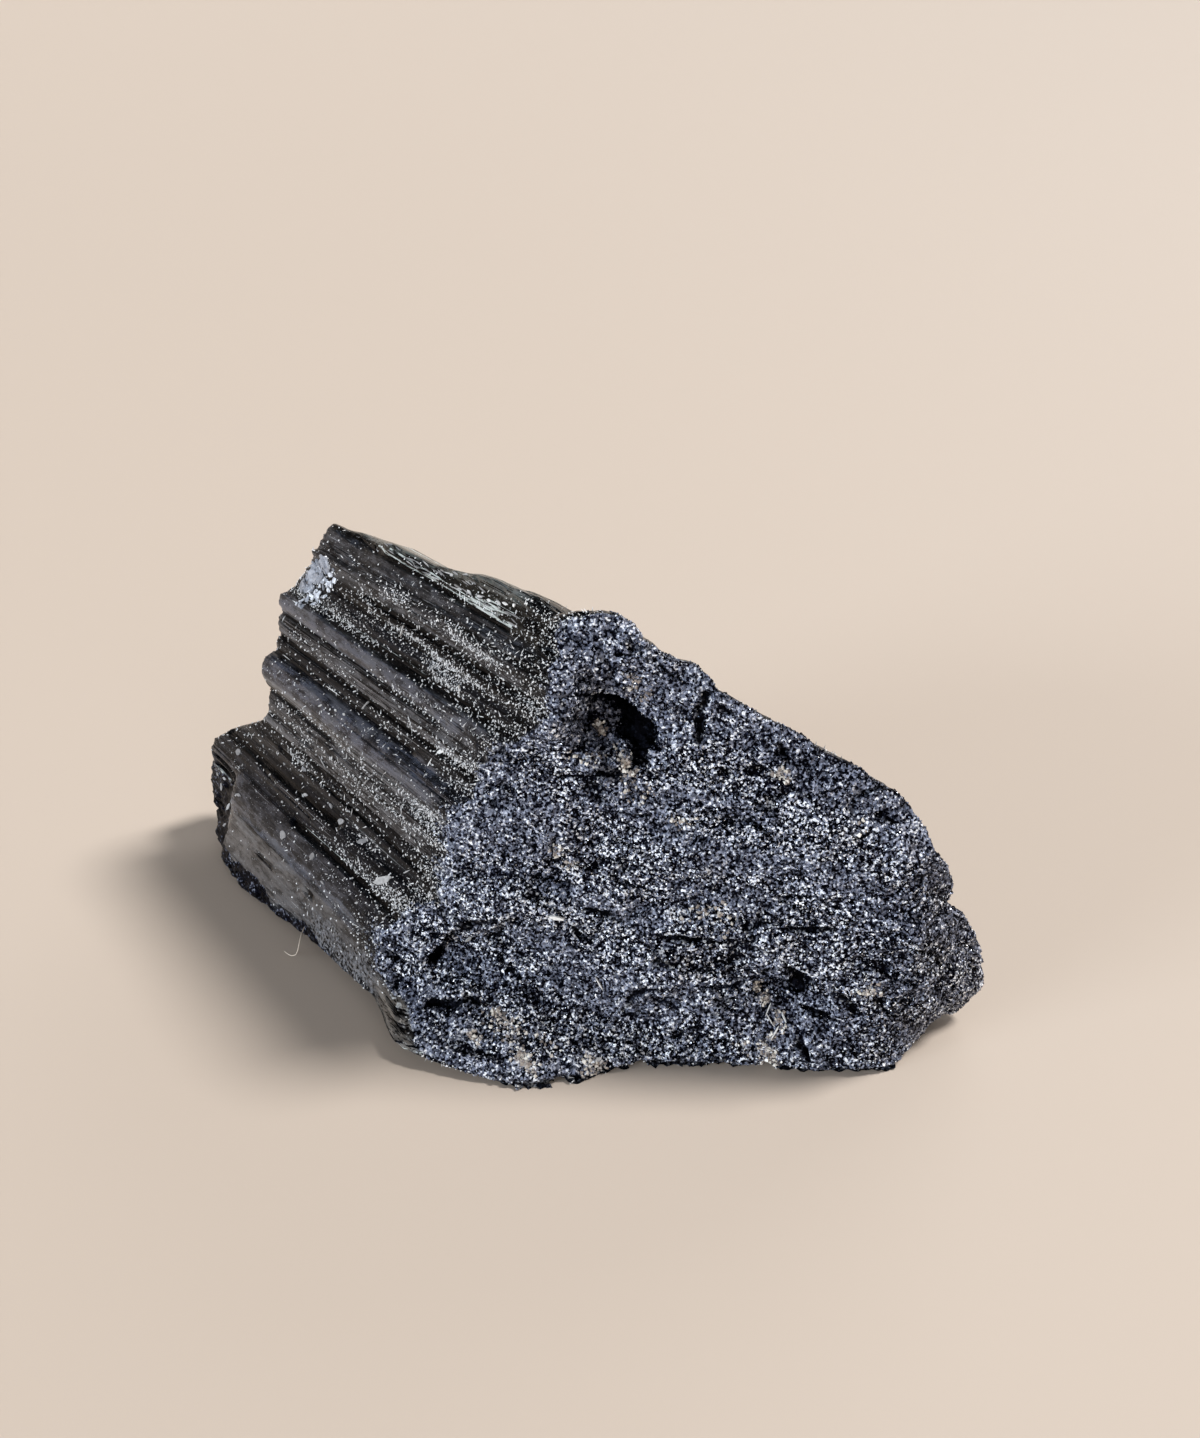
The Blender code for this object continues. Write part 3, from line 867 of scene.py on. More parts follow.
# %% Residue
RESIDUE = [
    # place across and height in the prism frame, half width and half height, and how much of it is covered
    (-4.5, 28.4, 0.35, 0.6, 1.0), (-3.8, 33.8, 0.5, 0.5, 0.6), (-3.8, 32.7, 0.4, 0.6, 0.7),
    (-2.8, 32.2, 0.4, 0.5, 0.5), (-4.2, 26.2, 0.45, 1.1, 1.0), (-6.9, 27.2, 1.5, 0.35, 0.6),
    (4.6, 26.7, 0.5, 0.65, 0.8), (-3.6, 24.3, 0.9, 1.1, 0.35), (-1.4, 22.1, 0.85, 0.65, 0.45),
    (-14.8, 4.0, 0.6, 0.45, 0.95), (-17.1, 2.6, 0.5, 0.32, 1.0), (-14.7, 1.7, 0.65, 0.7, 1.0),
    (-9.8, 0.8, 1.1, 0.7, 0.7), (-14.4, 3.2, 1.3, 0.9, 0.5), (3.0, 7.1, 0.6, 0.5, 0.9),
    (3.6, 5.9, 0.5, 0.45, 0.9), (4.0, 5.1, 0.45, 0.4, 0.6), (2.5, 0.9, 0.9, 0.7, 0.9),
    (1.2, 2.3, 0.55, 0.5, 0.4), (-0.4, 13.8, 1.7, 1.3, 0.22), (8.9, 8.3, 0.9, 0.8, 0.55),
    (8.7, 22.8, 0.3, 0.6, 0.5), (-9.0, 18.4, 0.5, 0.65, 0.6), (-8.0, 17.1, 0.5, 0.45, 0.6),
    (-12.0, 2.4, 1.2, 0.7, 0.2), (3.9, 4.1, 0.28, 0.7, 0.8), (3.2, 3.0, 0.3, 0.5, 0.8),
    (2.6, 1.9, 0.6, 0.8, 0.9),
]


def oval_distance(points, x, z, wide, tall):
    """0 in the middle of an oval on the wide break and 1 on its edge."""
    return np.hypot((points[:, 0] - x) / wide, (points[:, 2] - z) / tall)


def residue_on(points):
    """Spots on the wide break where pale crumbs stick, ragged at their edges."""
    ragged = 0.45 * crumbs(points, 0.6, 2, 81)
    total = np.zeros(len(points))
    for *oval, cover in RESIDUE:
        total = np.maximum(total, cover * fall(oval_distance(points, *oval) + ragged, 0.45, 1.35))
    return total * near_break


print(len(RESIDUE), "patches of residue")

# %% [markdown]
# ## Painted shade in soft areas and hollows
#
# Painted shade darkens some soft areas of the break, its rim where it turns away, the torn corner and the
# ragged foot. Hollows get painted shade too. Light alone would shade them, but on a surface this glittering it
# hardly shows, so a note helps it: it finds the hollows by comparing each point with the skin smoothed around
# it.

# %% Painted shade: soft areas and relief
SHADED_AREAS = [
    # place across and height, half width and half height, how much painted shade, on the wide break
    (-7.0, 32.0, 5.0, 7.0, 0.05), (13.0, 12.0, 9.0, 12.0, 0.12), (7.0, 27.0, 6.0, 5.0, 0.06),
    (8.0, 4.0, 7.0, 5.0, 0.08), (-13.0, 3.5, 4.5, 4.0, 0.06), (-0.5, 9.8, 1.8, 1.6, 0.16),
    (-15.5, 9.0, 2.2, 2.2, 0.08), (4.4, 8.0, 1.6, 1.6, 0.2), (-4.2, 29.5, 1.5, 2.2, 0.12),
]
# painted shade on the rim of the break where it turns away, and on the low torn corner and the ragged foot
RIM_SHADE = 0.40
RIM_FACING = (-0.62, -0.36)  # the rim of the break turns away between these
TORN_SHADE = 0.50
RELIEF_ROUNDS = 24
RELIEF_SPAN = 0.30


def painted_shade_of(points):
    """How much painted shade darkens the grains in some soft areas of the wide break."""
    total = np.zeros(len(points))
    for *oval, amount in SHADED_AREAS:
        total += amount * fall(oval_distance(points, *oval), 0.3, 1.0)
    return total


def relief_of(points, normals):
    """0 in a hollow and 0.5 on the level, against the smoothed skin; humps count little."""
    smooth = np.stack([neighbour_mean(points[:, axis], skin_edges, RELIEF_ROUNDS) for axis in range(3)], axis=1)
    height = np.einsum("ij,ij->i", points - smooth, normals)
    return np.clip(0.5 + 0.5 * height / RELIEF_SPAN, 0.0, 0.62)


print(len(SHADED_AREAS), "dull areas")

# %% [markdown]
# ## The bands of the ribbed side
#
# The ribbed side leans back evenly, so a height above the floor picks out one column. From the foot up there
# is a smooth pale beige facet, a dark slate group, two brown dusty columns, a grey one, another brown one, a
# black group full of pale needles, a wide grey-brown column and a glossy crest. The band colours are partly the
# columns' own film and dust and partly painted reflection: paler where a facet mirrors the pale floor, as the
# beige facet at the foot does, and darker where it mirrors the dim room. One table holds where each band
# starts, its colour, its roughness and how crowded its pale specks are at the near and at the far end.

# %% Bands
BANDS = [
    # start height, colour, roughness, specks near the break, specks far from it
    (0.0, (0.019, 0.023, 0.032), 0.50, 0.10, 0.02),
    # the pale beige facet: partly painted reflection of the floor
    (2.0, (0.086, 0.082, 0.084), 0.30, 0.30, 0.02),
    (6.4, (0.046, 0.054, 0.076), 0.26, 0.12, 0.02),
    (7.8, (0.027, 0.034, 0.053), 0.24, 0.20, 0.03),
    (10.1, (0.018, 0.023, 0.037), 0.26, 0.60, 0.12),
    (12.1, (0.010, 0.013, 0.022), 0.28, 0.60, 0.14),
    (14.0, (0.006, 0.008, 0.014), 0.36, 1.00, 0.60),
    (15.3, (0.059, 0.058, 0.064), 0.42, 0.75, 0.22),
    (17.2, (0.038, 0.039, 0.046), 0.42, 0.75, 0.22),
    (18.9, (0.078, 0.080, 0.090), 0.32, 0.50, 0.10),
    (20.2, (0.046, 0.055, 0.083), 0.27, 0.22, 0.05),
    (22.4, (0.013, 0.016, 0.024), 0.34, 0.60, 0.30),
    (24.0, (0.059, 0.059, 0.067), 0.42, 0.80, 0.22),
    (26.1, (0.048, 0.057, 0.083), 0.30, 0.42, 0.14),
    # the black group: its darkness partly painted reflection of the dim room
    (28.3, (0.005, 0.006, 0.012), 0.34, 0.95, 0.65),
    (29.2, (0.013, 0.017, 0.029), 0.36, 1.00, 0.60),
    (30.4, (0.003, 0.004, 0.008), 0.34, 1.00, 0.65),
    (31.8, (0.039, 0.041, 0.051), 0.40, 0.80, 0.16),
    (34.2, (0.027, 0.034, 0.050), 0.29, 0.35, 0.05),
    (35.5, (0.010, 0.014, 0.015), 0.22, 0.35, 0.14),
]
BAND_TOP = 40.0
BAND_EDGE = 0.16
SLIVER_COLOUR = (0.078, 0.091, 0.085)
STRIPE_COLOUR = (0.150, 0.135, 0.120)
OTHER_SIDES_CROWD = 0.20  # the back and the underside carry less dust
OTHER_SIDES_COLOUR = (0.024, 0.027, 0.034)
OTHER_SIDES_EVENNESS = 0.65
NEAR_END = -6.0
FAR_END = 30.0
CROWD_OF_BAND = 0.85
CROWD_AT_BREAK = 0.35  # specks gather next to the wide break
CROWD_ON_CREST = 0.20
ROUGH_LOSS = 0.6  # share of the specks that the granular patch goes without
STRIPED_LOSS = 0.9
MARGIN_DARKNESS = 0.45  # the ribbed side is darker close to the break


def band_value(level, pick):
    """One fact of the table at each height, even inside a band and eased at its edges."""
    tops = [band[0] for band in BANDS[1:]] + [BAND_TOP]
    heights = [(band[0] + BAND_EDGE, top - BAND_EDGE) for band, top in zip(BANDS, tops)]
    values = [(pick(band), pick(band)) for band in BANDS]
    return np.interp(level, np.ravel(heights), np.ravel(values))


def band_colour(level):
    return np.stack([band_value(level, lambda band: band[1][channel]) for channel in range(3)], axis=1)


print(len(BANDS), "bands")

# %% Colour and crowding of the grown sides
level = points[:, 2] + 0.15 * patches(points, 5.0, 16.0, 91)
level += 0.9 * crumbs(points, 2.2, 2, 92) * fall(level, 1.6, 3.4)
ribbed_side = ease(-normals[:, 0], 0.10, 0.50)
sliver = sliver_on(base)
rough = rough_patch(base)
crumbly_crest = ease(level, 35.3, 35.7) * ease(-points[:, 1], 1.6, 3.2) * ribbed_side

away = ease(points[:, 1], NEAR_END, FAR_END)
crowd = (1.0 - away) * band_value(level, lambda band: band[3]) + away * band_value(level, lambda band: band[4])
crowd *= 0.35 + 1.1 * ease(patches(points, 1.4, 5.0, 95), -0.5, 0.6)
crowd *= 0.5 + 1.0 * ease(patches(points, 0.45, 12.0, 96), -0.3, 0.5)
crowd = np.clip(CROWD_OF_BAND * crowd + CROWD_AT_BREAK * ease(margin, 0.02, 0.4), 0.0, 1.0)
crowd = crowd * (1.0 - ROUGH_LOSS * rough) * (1.0 - broken)
crowd *= (OTHER_SIDES_CROWD + (1.0 - OTHER_SIDES_CROWD) * ribbed_side) * (1.0 - sliver)
crowd *= 1.0 - STRIPED_LOSS * striped
crowd = np.clip(crowd + CROWD_ON_CREST * crumbly_crest * (1.0 - broken), 0.0, 1.0)


def toward_colour(colours, share, colour):
    """The colours moved towards one colour by each point's share."""
    return colours * (1.0 - share[:, None]) + share[:, None] * np.array(colour)


other_sides = OTHER_SIDES_EVENNESS * (1.0 - ribbed_side) * ease(points[:, 0], -5.0, -1.0)
colours = toward_colour(band_colour(level), other_sides, OTHER_SIDES_COLOUR)
colours = toward_colour(colours, sliver, SLIVER_COLOUR)
colours = toward_colour(colours, striped, STRIPE_COLOUR)
colours += 0.010 * crumbly_crest[:, None]
colours *= (1.0 - MARGIN_DARKNESS * ease(margin, 0.01, 0.25) * ribbed_side * (1.0 - striped))[:, None]
print("mean crowding:", round(float(crowd.mean()), 2))

# %% Write the notes
def write_note(mesh, name, values):
    mesh.attributes.new(name, "FLOAT", "POINT").data.foreach_set("value", values.astype(np.float32))


def write_shade(mesh, name, colours):
    four = np.concatenate([colours, np.ones((len(colours), 1))], axis=1)
    mesh.attributes.new(name, "FLOAT_COLOR", "POINT").data.foreach_set("color", four.astype(np.float32).ravel())


seams = seams_of(base)
calm = calm_of(base)
room = (1.0 - black) * (1.0 - 0.8 * seams) * (1.0 - undercut)  # grains keep out of the cracks
# the rim of the wide break, on its right, where it turns away and gets painted shade
shaded_rim = ease(facing, *RIM_FACING) * near_break * ease(base[:, 0], -4.0, 4.0)

notes = {
    "broken": broken,
    # painted shade: black in the cracks, grooves and seams, and a painted shadow line along the stepped-back foot
    # of the break
    "cut": np.clip(black + grooves / 0.30 + 0.75 * seams * near_break + undercut, 0.0, 1.0),
    "calm": calm,
    "rough": rough * (1.0 - striped),
    "grain_room": near_break * room,
    "glitter": near_break * room * (1.0 - 0.75 * calm),
    "residue": residue_on(points),
    "relief": relief_of(points, normals),
    "ribbing": ribbing_of(points),
    "far_core": np.maximum(ease(facing, 0.70, 0.90), step),
    # painted shade: darker soft areas, the rim turned away, the torn corner and the ragged foot
    "dull": painted_shade_of(base) + TORN_SHADE * np.maximum(torn, ragged) + RIM_SHADE * shaded_rim,
    "gloss": band_value(level, lambda band: band[2]),
    "crowd": crowd,
}
write_shade(skin, "band", colours)
for note, values in notes.items():
    write_note(skin, note, values)
set_coordinates(skin, to_row(points))
print("residue covers", round(100 * float(notes["residue"].mean()), 1), "% of the skin's points")

# %% [markdown]
# ## The finish of the crystal
#
# Schorl is black, but it seldom looks black. The smooth columns carry a thin brown film, their polished parts
# mirror the pale floor, and every break is a crowd of small facets, some catching the lamp and some turned
# away. One material covers it all. The "broken" note chooses between the finish of the sides and that of the
# breaks.

# %% Colours
# the lowest grain shades are the black of the mineral; the paler ones are painted sheen and painted glints of the
# tiny facets
GRAIN_SHADES_AND_GLINTS = [(0.0, (0.002, 0.002, 0.004)), (0.30, (0.006, 0.007, 0.013)), (0.44, (0.040, 0.048, 0.078)),
                (0.66, (0.120, 0.140, 0.210)), (0.82, (0.320, 0.350, 0.455)), (0.97, (0.92, 0.95, 1.0))]
BLACK = (0.002, 0.002, 0.003)
DUST = (0.165, 0.170, 0.190)
SPECK = (0.88, 0.91, 0.95)
# the colour of the painted highlights on the pale hairlines
HIGHLIGHT_GREEN_WHITE = (0.50, 0.55, 0.54)
RESIDUE_PALE = (0.58, 0.54, 0.49)
RESIDUE_PINK = (0.38, 0.32, 0.29)
CRUMB_SHADES = [(0.0, (0.10, 0.085, 0.08)), (0.35, (0.36, 0.31, 0.28)), (0.75, (0.64, 0.60, 0.54)),
                (1.0, (0.90, 0.88, 0.83))]
SPARKLE_SHADES = [(0.0, (0.02, 0.022, 0.03)), (0.5, (0.16, 0.18, 0.24)), (0.8, (0.60, 0.64, 0.74)),
                  (1.0, (0.95, 0.97, 1.0))]
REFRACTION = 1.64
print("shades of grain, residue and sparkle:", len(GRAIN_SHADES_AND_GLINTS), len(CRUMB_SHADES), len(SPARKLE_SHADES))

# %% [markdown]
# ## Hairlines and the finish of the sides
#
# The thinnest lines of the sides are narrower than the faces of the skin, so they can't be cut into it. The
# shader draws them instead, each as a narrow range of heights and a range of places along the ribs, and noise
# thins them here and there. The dark ones are painted shade of fine grooves and the pale ones painted highlights
# along the crest and the column edges. The finish of the sides is then laid on in layers: mottling, dust,
# streaks, grit, the painted shade of the grooves and cracks, and last the hairlines.

# %% Hairlines
HAIRLINES = [
    # height, start and end along the ribs, half width, and 0 for a dark line of painted groove shade or 1 for a
    # pale line of painted highlight
    (36.0, -11.0, -7.6, 0.17, 0), (35.62, -2.5, 31.0, 0.12, 0), (34.15, -11.0, 4.0, 0.1, 0),
    (31.72, -9.5, 24.0, 0.13, 0), (30.7, 8.0, 27.0, 0.2, 0), (30.1, -4.0, 14.0, 0.08, 0),
    (28.45, -8.0, 27.0, 0.16, 0), (26.05, 3.0, 36.0, 0.07, 0), (23.85, -6.0, 36.0, 0.1, 0),
    (22.4, 6.0, 36.0, 0.08, 0), (18.95, 19.0, 36.0, 0.08, 0), (17.4, 8.0, 18.5, 0.06, 0),
    (16.75, 23.0, 33.0, 0.06, 0), (15.3, -6.0, 35.0, 0.15, 0), (14.1, 0.0, 30.0, 0.1, 0),
    (12.15, 15.0, 43.0, 0.1, 0), (10.15, 1.0, 22.0, 0.13, 0), (6.4, 21.0, 33.0, 0.05, 0),
    (4.72, 24.0, 27.3, 0.07, 0), (3.2, -11.0, 0.0, 0.08, 0), (2.6, -9.0, 2.0, 0.08, 0),
    (0.6, -10.0, 2.0, 0.1, 0), (1.15, -10.0, 3.0, 0.09, 0), (1.8, -9.5, 3.0, 0.08, 0),
    (0.85, -9.0, 1.0, 0.05, 1), (1.5, -9.0, 2.0, 0.05, 1), (35.98, -2.6, 6.0, 0.24, 1),
    (35.96, 3.5, 12.5, 0.2, 1), (35.92, 12.0, 22.5, 0.1, 1), (36.3, -2.4, 2.0, 0.16, 1),
    (36.3, 2.0, 20.0, 0.07, 1), (36.55, -1.8, 4.0, 0.1, 1), (36.85, -2.0, 2.0, 0.06, 1),
    (36.02, -2.0, 9.0, 0.03, 0), (31.95, -9.0, 8.0, 0.05, 1), (17.5, 5.0, 8.5, 0.06, 1),
    (10.3, 9.0, 20.0, 0.04, 1), (15.45, -4.0, 12.0, 0.04, 1), (28.6, 8.0, 26.0, 0.04, 1),
    (7.75, 35.5, 43.0, 0.09, 1),
]
HAIRLINE_LEFT = (-3.0, -5.5)  # no hairline right of the first place, and all of it left of the second


def hairline_masks(tree, place):
    """Where the dark lines of painted groove shade and the pale lines of painted highlight run: a pair of values.
    """
    sway = cloud(tree, place, 4.0, 9.0, 1.0) - 0.5
    split = [node(tree, "ShaderNodeSeparateXYZ", {}, {"Vector": place}, output=axis) for axis in range(3)]
    across, along, height = split
    level = height + sway * 0.25
    thick = [cloud(tree, place, 0.5, run, 2.0).between(0.30, 0.54) for run in (1.6, 6.0)]
    masks = [None, None]
    for high, start, end, half, pale in HAIRLINES:
        line = level.close_to(high, thick[pale] * half) * along.close_to((start + end) / 2, (end - start) / 2)
        masks[pale] = line if masks[pale] is None else masks[pale].maths("MAXIMUM", line)
    left = across.between(*HAIRLINE_LEFT)
    return [mask * left for mask in masks]


print(len(HAIRLINES), "hairlines")

# %% Finish of the sides
def note_colour(tree, name):
    return node(tree, "ShaderNodeAttribute", {"attribute_name": name}, output=0)


def brightness(tree, colour):
    return node(tree, "ShaderNodeRGBToBW", {}, {"Color": colour})


def side_finish(tree, place):
    """Colour and roughness of the grown sides: the band's colour, partly painted reflection, with layers painted
    over it that include painted shade in grooves and cracks and painted highlights.
    """
    colour = note_colour(tree, "band")
    dusty = brightness(tree, colour).between(0.02, 0.07)
    mottle = cloud(tree, place, 0.8, 2.2, 5.0, 0.7)
    film = cloud(tree, place, 1.6, 6.0, 5.0, 0.65).between(0.48, 0.70)
    streaks = cloud(tree, place, 0.12, 24.0, 2.0)
    clods = cloud(tree, place, 0.34, 0.34, 2.0, 0.6)
    grit = cloud(tree, place, 0.15, 0.20, 2.0)
    highlight_patches = cloud(tree, place, 0.18, 1.6, 3.0).between(0.38, 0.60)
    rough, crowd = attribute(tree, "rough"), attribute(tree, "crowd")
    groove_shade_line, highlight_line = hairline_masks(tree, place)
    layers = [
        # how much of it at each place, and its colour
        (mottle.between(0.62, 0.40) * 0.6, BLACK),
        (film * dusty * 0.34, DUST),
        (streaks.between(0.48, 0.40) * (attribute(tree, "ribbing") * 0.85), BLACK),
        (streaks.between(0.66, 0.80) * 0.30, SPECK),
        (clods.between(0.50, 0.56) * rough * 0.7, DUST),
        (clods.between(0.46, 0.38) * rough, BLACK),
        ((grit + crowd * 0.14).between(0.68, 0.75) * 0.55, SPECK),
        ((grit - crowd * 0.12).between(0.36, 0.28) * 0.8, BLACK),
        # painted shade in the grooves and cracks
        (attribute(tree, "cut") * 0.9, BLACK),
        # painted highlights along the crest and the column edges, broken up by noise
        (highlight_line * highlight_patches, HIGHLIGHT_GREEN_WHITE),
        # painted shade of the finest grooves
        (groove_shade_line, BLACK),
    ]
    for share, paint in layers:
        colour = mix_colour(tree, share, colour, paint)
    return colour, attribute(tree, "gloss") + film * 0.10


# %% [markdown]
# ## The finish of the breaks
#
# On a break each small facet has its own shade. An image could hold them, but it would blur close up, so they
# are worked out: cells of two sizes give chance numbers, calm plates narrow their swing, painted shade in
# hollows and shaded areas lowers them, and a colour ramp turns the sum into anything from black to a painted
# glint. The paler shades stand for the sheen and the glints of the tiny facets, so they are painted light.

# %% Finish of the breaks
GRAIN_CELL = 0.24
FINE_CELL = 0.20
CHANCE_SWING = 0.85
CELL_SWING = 1.6
CALM_LOSS = 0.50  # how much of the swing a calm plate takes away
CALM_LIFT = 0.16
GRAIN_TONE = 0.29
FIELD_SWING = 0.3
RELIEF_SHADE = 0.6


def cell_chance(tree, place, size):
    cells = node(tree, "ShaderNodeTexVoronoi", {}, {"Vector": stretched(tree, place, size, size), "Scale": 1.0},
                 output=1)
    return node(tree, "ShaderNodeSeparateColor", {}, {"Color": cells}, output=0)


def grain_shade(tree, place, chance):
    """Colour of a broken grain from its own chance number and from where it is, with painted shade in hollows and
    shaded areas and painted glints at the pale end.
    """
    field = cloud(tree, place, 1.7, 1.7, 3.0, 0.5)
    fine = cell_chance(tree, place, FINE_CELL)
    # painted shade in hollows, and a little painted light on humps
    relief_shade = attribute(tree, "relief") - 0.5
    calm = attribute(tree, "calm")
    swing = ((chance - 0.5) * CHANCE_SWING + (fine - 0.5) * CELL_SWING) * (1.0 - calm * CALM_LOSS)
    tone = swing + GRAIN_TONE + calm * CALM_LIFT + (field - 0.5) * FIELD_SWING + relief_shade * RELIEF_SHADE
    return (tone - attribute(tree, "dull")).clamped().ramp(GRAIN_SHADES_AND_GLINTS)


def with_residue(tree, place, colour):
    """A film of residue under its crumbs, over a break's colour."""
    tone = cloud(tree, place, 0.5, 0.5, 2.0).between(0.42, 0.58)
    film = mix_colour(tree, tone, RESIDUE_PINK, RESIDUE_PALE)
    ragged = cloud(tree, place, 0.16, 0.16, 2.0)
    cover = (attribute(tree, "residue") * 0.55 + (ragged - 0.5) * 1.6).between(0.35, 0.60)
    return mix_colour(tree, cover * (attribute(tree, "residue") * 2.0).clamped() * 0.8, colour, film)


# %% Body material
BREAK_ROUGHNESS = 0.55
INK = (0.050, 0.012)  # brightness where ink starts, and where it is full


def ink(tree, colour):
    """How black a colour is. Fed to Metallic, it takes the milky reflection off what should stay black."""
    return brightness(tree, colour).between(*INK)


def crystal_material():
    material, tree, shader = new_material("schorl_body")
    place = prism_place(tree)
    side, gloss = side_finish(tree, place)
    grains = grain_shade(tree, place, cell_chance(tree, place, GRAIN_CELL))
    # painted shade of the cracks, seams and stepped-back foot
    grains = mix_colour(tree, attribute(tree, "cut") * 0.95, grains, BLACK)
    ragged = (cloud(tree, place, 0.6, 0.6) - 0.5) * 0.8
    is_break = (attribute(tree, "broken") + ragged).between(0.35, 0.60)
    colour = mix_colour(tree, is_break, side, with_residue(tree, place, grains))
    rough = gloss + (BREAK_ROUGHNESS - gloss) * is_break
    small = cloud(tree, place, 0.22, 0.9, 2.0)
    bump = node(tree, "ShaderNodeBump", {}, {"Strength": 0.35, "Distance": 0.06 * MM, "Height": small})
    feed(tree, shader, Base_Color=colour, Roughness=rough, Normal=bump, IOR=REFRACTION,
         Metallic=ink(tree, colour))
    return material


body_material = crystal_material()
print("body material:", len(body_material.node_tree.nodes), "nodes")

# %% The body of the crystal
def finished(mesh, name, material):
    """Links a finished mesh, with its material, as a piece that rides the crystal."""
    mesh.materials.clear()
    mesh.materials.append(material)
    thing = add_object(name, mesh)
    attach(thing, "root")
    return thing


body = finished(skin, "crystal_body", body_material)
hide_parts(NODE)
skin.shade_flat()
print("body:", len(body.data.polygons), "faces")

# %% [markdown]
# ## Grains on the breaks
#
# Schorl has no good cleavage. It breaks like coal, into a crowd of tiny shards. They are too many to place by
# hand, so a Geometry Nodes tree does it: it scatters points where a note on the skin says so, puts a small
# tilted shard on each, gives each its own chance number for the shader, and turns the lot into one plain
# mesh.

# %% Geometry Nodes tree
SCATTER_INPUTS = {"Geometry": "NodeSocketGeometry", "Shape": "NodeSocketObject", "Density": "NodeSocketFloat",
                  "Smallest": "NodeSocketFloat", "Largest": "NodeSocketFloat", "Seed": "NodeSocketInt",
                  "Material": "NodeSocketMaterial"}
CHANCE_SEED, TURN_SEED, SIZE_SEED = 5, 6, 7


def random_number(tree, low, high, seed):
    """A random number for each point."""
    return node(tree, "FunctionNodeRandomValue", {"data_type": "FLOAT"},
                {2: low, 3: high, "Seed": seed}, output=1)


def random_turn(tree, seed):
    """A random turn for each point, any way round."""
    return node(tree, "FunctionNodeRandomValue", {"data_type": "FLOAT_VECTOR"},
                {0: (0.0, 0.0, 0.0), 1: (math.tau, math.tau, math.tau), "Seed": seed})


def scatter_tree(name, note):
    """Scatters one shape over a mesh where the note is high."""
    tree = bpy.data.node_groups.new(name, "GeometryNodeTree")
    for title, kind in SCATTER_INPUTS.items():
        tree.interface.new_socket(title, in_out="INPUT", socket_type=kind)
    tree.interface.new_socket("Geometry", in_out="OUTPUT", socket_type="NodeSocketGeometry")
    given = {title: node(tree, "NodeGroupInput", output=title) for title in SCATTER_INPUTS}
    share = node(tree, "GeometryNodeInputNamedAttribute", {"data_type": "FLOAT"}, {"Name": note})
    amount = share * given["Density"]
    points = node(tree, "GeometryNodeDistributePointsOnFaces", {},
                  {"Mesh": given["Geometry"], "Density": amount, "Seed": given["Seed"]})
    points = node(tree, "GeometryNodeStoreNamedAttribute", {"data_type": "FLOAT", "domain": "POINT"},
                  {"Geometry": points, "Name": "chance", "Value": random_number(tree, 0.0, 1.0, CHANCE_SEED)})
    shape = node(tree, "GeometryNodeObjectInfo", {}, {"Object": given["Shape"]}, output="Geometry")
    placed = node(tree, "GeometryNodeInstanceOnPoints", {}, {
        "Points": points, "Instance": shape, "Rotation": random_turn(tree, TURN_SEED),
        "Scale": random_number(tree, given["Smallest"], given["Largest"], SIZE_SEED)})
    real = node(tree, "GeometryNodeRealizeInstances", {}, {"Geometry": placed})
    painted = node(tree, "GeometryNodeSetMaterial", {}, {"Geometry": real, "Material": given["Material"]})
    plug(tree, tree.nodes.new("NodeGroupOutput").inputs["Geometry"], painted)
    return tree


def scatter(source, tree, inputs):
    """Runs a tree on a copy of the source mesh and returns the plain mesh it makes."""
    thing = add_object("ground", source.copy())
    modifier = thing.modifiers.new("scatter", "NODES")
    modifier.node_group = tree
    for item in tree.interface.items_tree:
        if item.in_out == "INPUT" and item.name in inputs:
            modifier[item.identifier] = inputs[item.name]
    made = plain_mesh(thing)
    bpy.data.objects.remove(thing)
    return made


# %% A shard to scatter
SHARD_CORNERS = [(-0.50, -0.12, 0.05), (0.50, 0.06, -0.08), (-0.04, -0.46, 0.10), (0.10, 0.48, -0.04),
                 (0.06, -0.08, -0.42), (-0.08, 0.12, 0.44)]
SHARD_FACES = [(0, 2, 5), (2, 1, 5), (1, 3, 5), (3, 0, 5), (2, 0, 4), (1, 2, 4), (3, 1, 4), (0, 3, 4)]


def small_shape(name, corners, faces, size):
    """A small closed shape, its size in millimetres, kept out of the scene."""
    mesh = bpy.data.meshes.new(name)
    mesh.from_pydata([tuple(c * s * MM for c, s in zip(corner, size)) for corner in corners], [], faces)
    return bpy.data.objects.new(name, mesh)


shard = small_shape("shard", SHARD_CORNERS, SHARD_FACES, (1.0, 1.0, 1.0))
needle = small_shape("needle", SHARD_CORNERS, SHARD_FACES, (1.0, 0.16, 0.20))
print("shard and needle:", len(shard.data.polygons), "faces each")

# %% [markdown]
# ## Finishes for the scattered pieces
#
# Grains are shaded by the same rule as the break under them, so that they belong to it, but each has its own
# chance number. Sparkles and residue crumbs take one of a few shades, and specks and needles share one pale
# dust.

# %% Grain finish
GRAIN_ROUGHNESS = 0.34
DUST_ROUGHNESS = 0.6
PALER = 1.35
DARKER = 0.55


def grain_material(name, shades=None, metal=None):
    """Grains shaded as the break is, or each in one of the given shades by its own chance."""
    material, tree, shader = new_material(name)
    place = prism_place(tree)
    if shades is None:
        # the scattered grains get the same painted glints and painted shade as the break
        colour = grain_shade(tree, place, attribute(tree, "chance"))
        # painted shade of the cracks and seams, as on the break
        colour = mix_colour(tree, attribute(tree, "cut") * 0.95, colour, BLACK)
        colour = with_residue(tree, place, colour)
    else:
        colour = attribute(tree, "chance").ramp(shades)
    feed(tree, shader, Base_Color=colour, Roughness=GRAIN_ROUGHNESS, IOR=REFRACTION,
         Metallic=ink(tree, colour) if metal is None else metal)
    return material


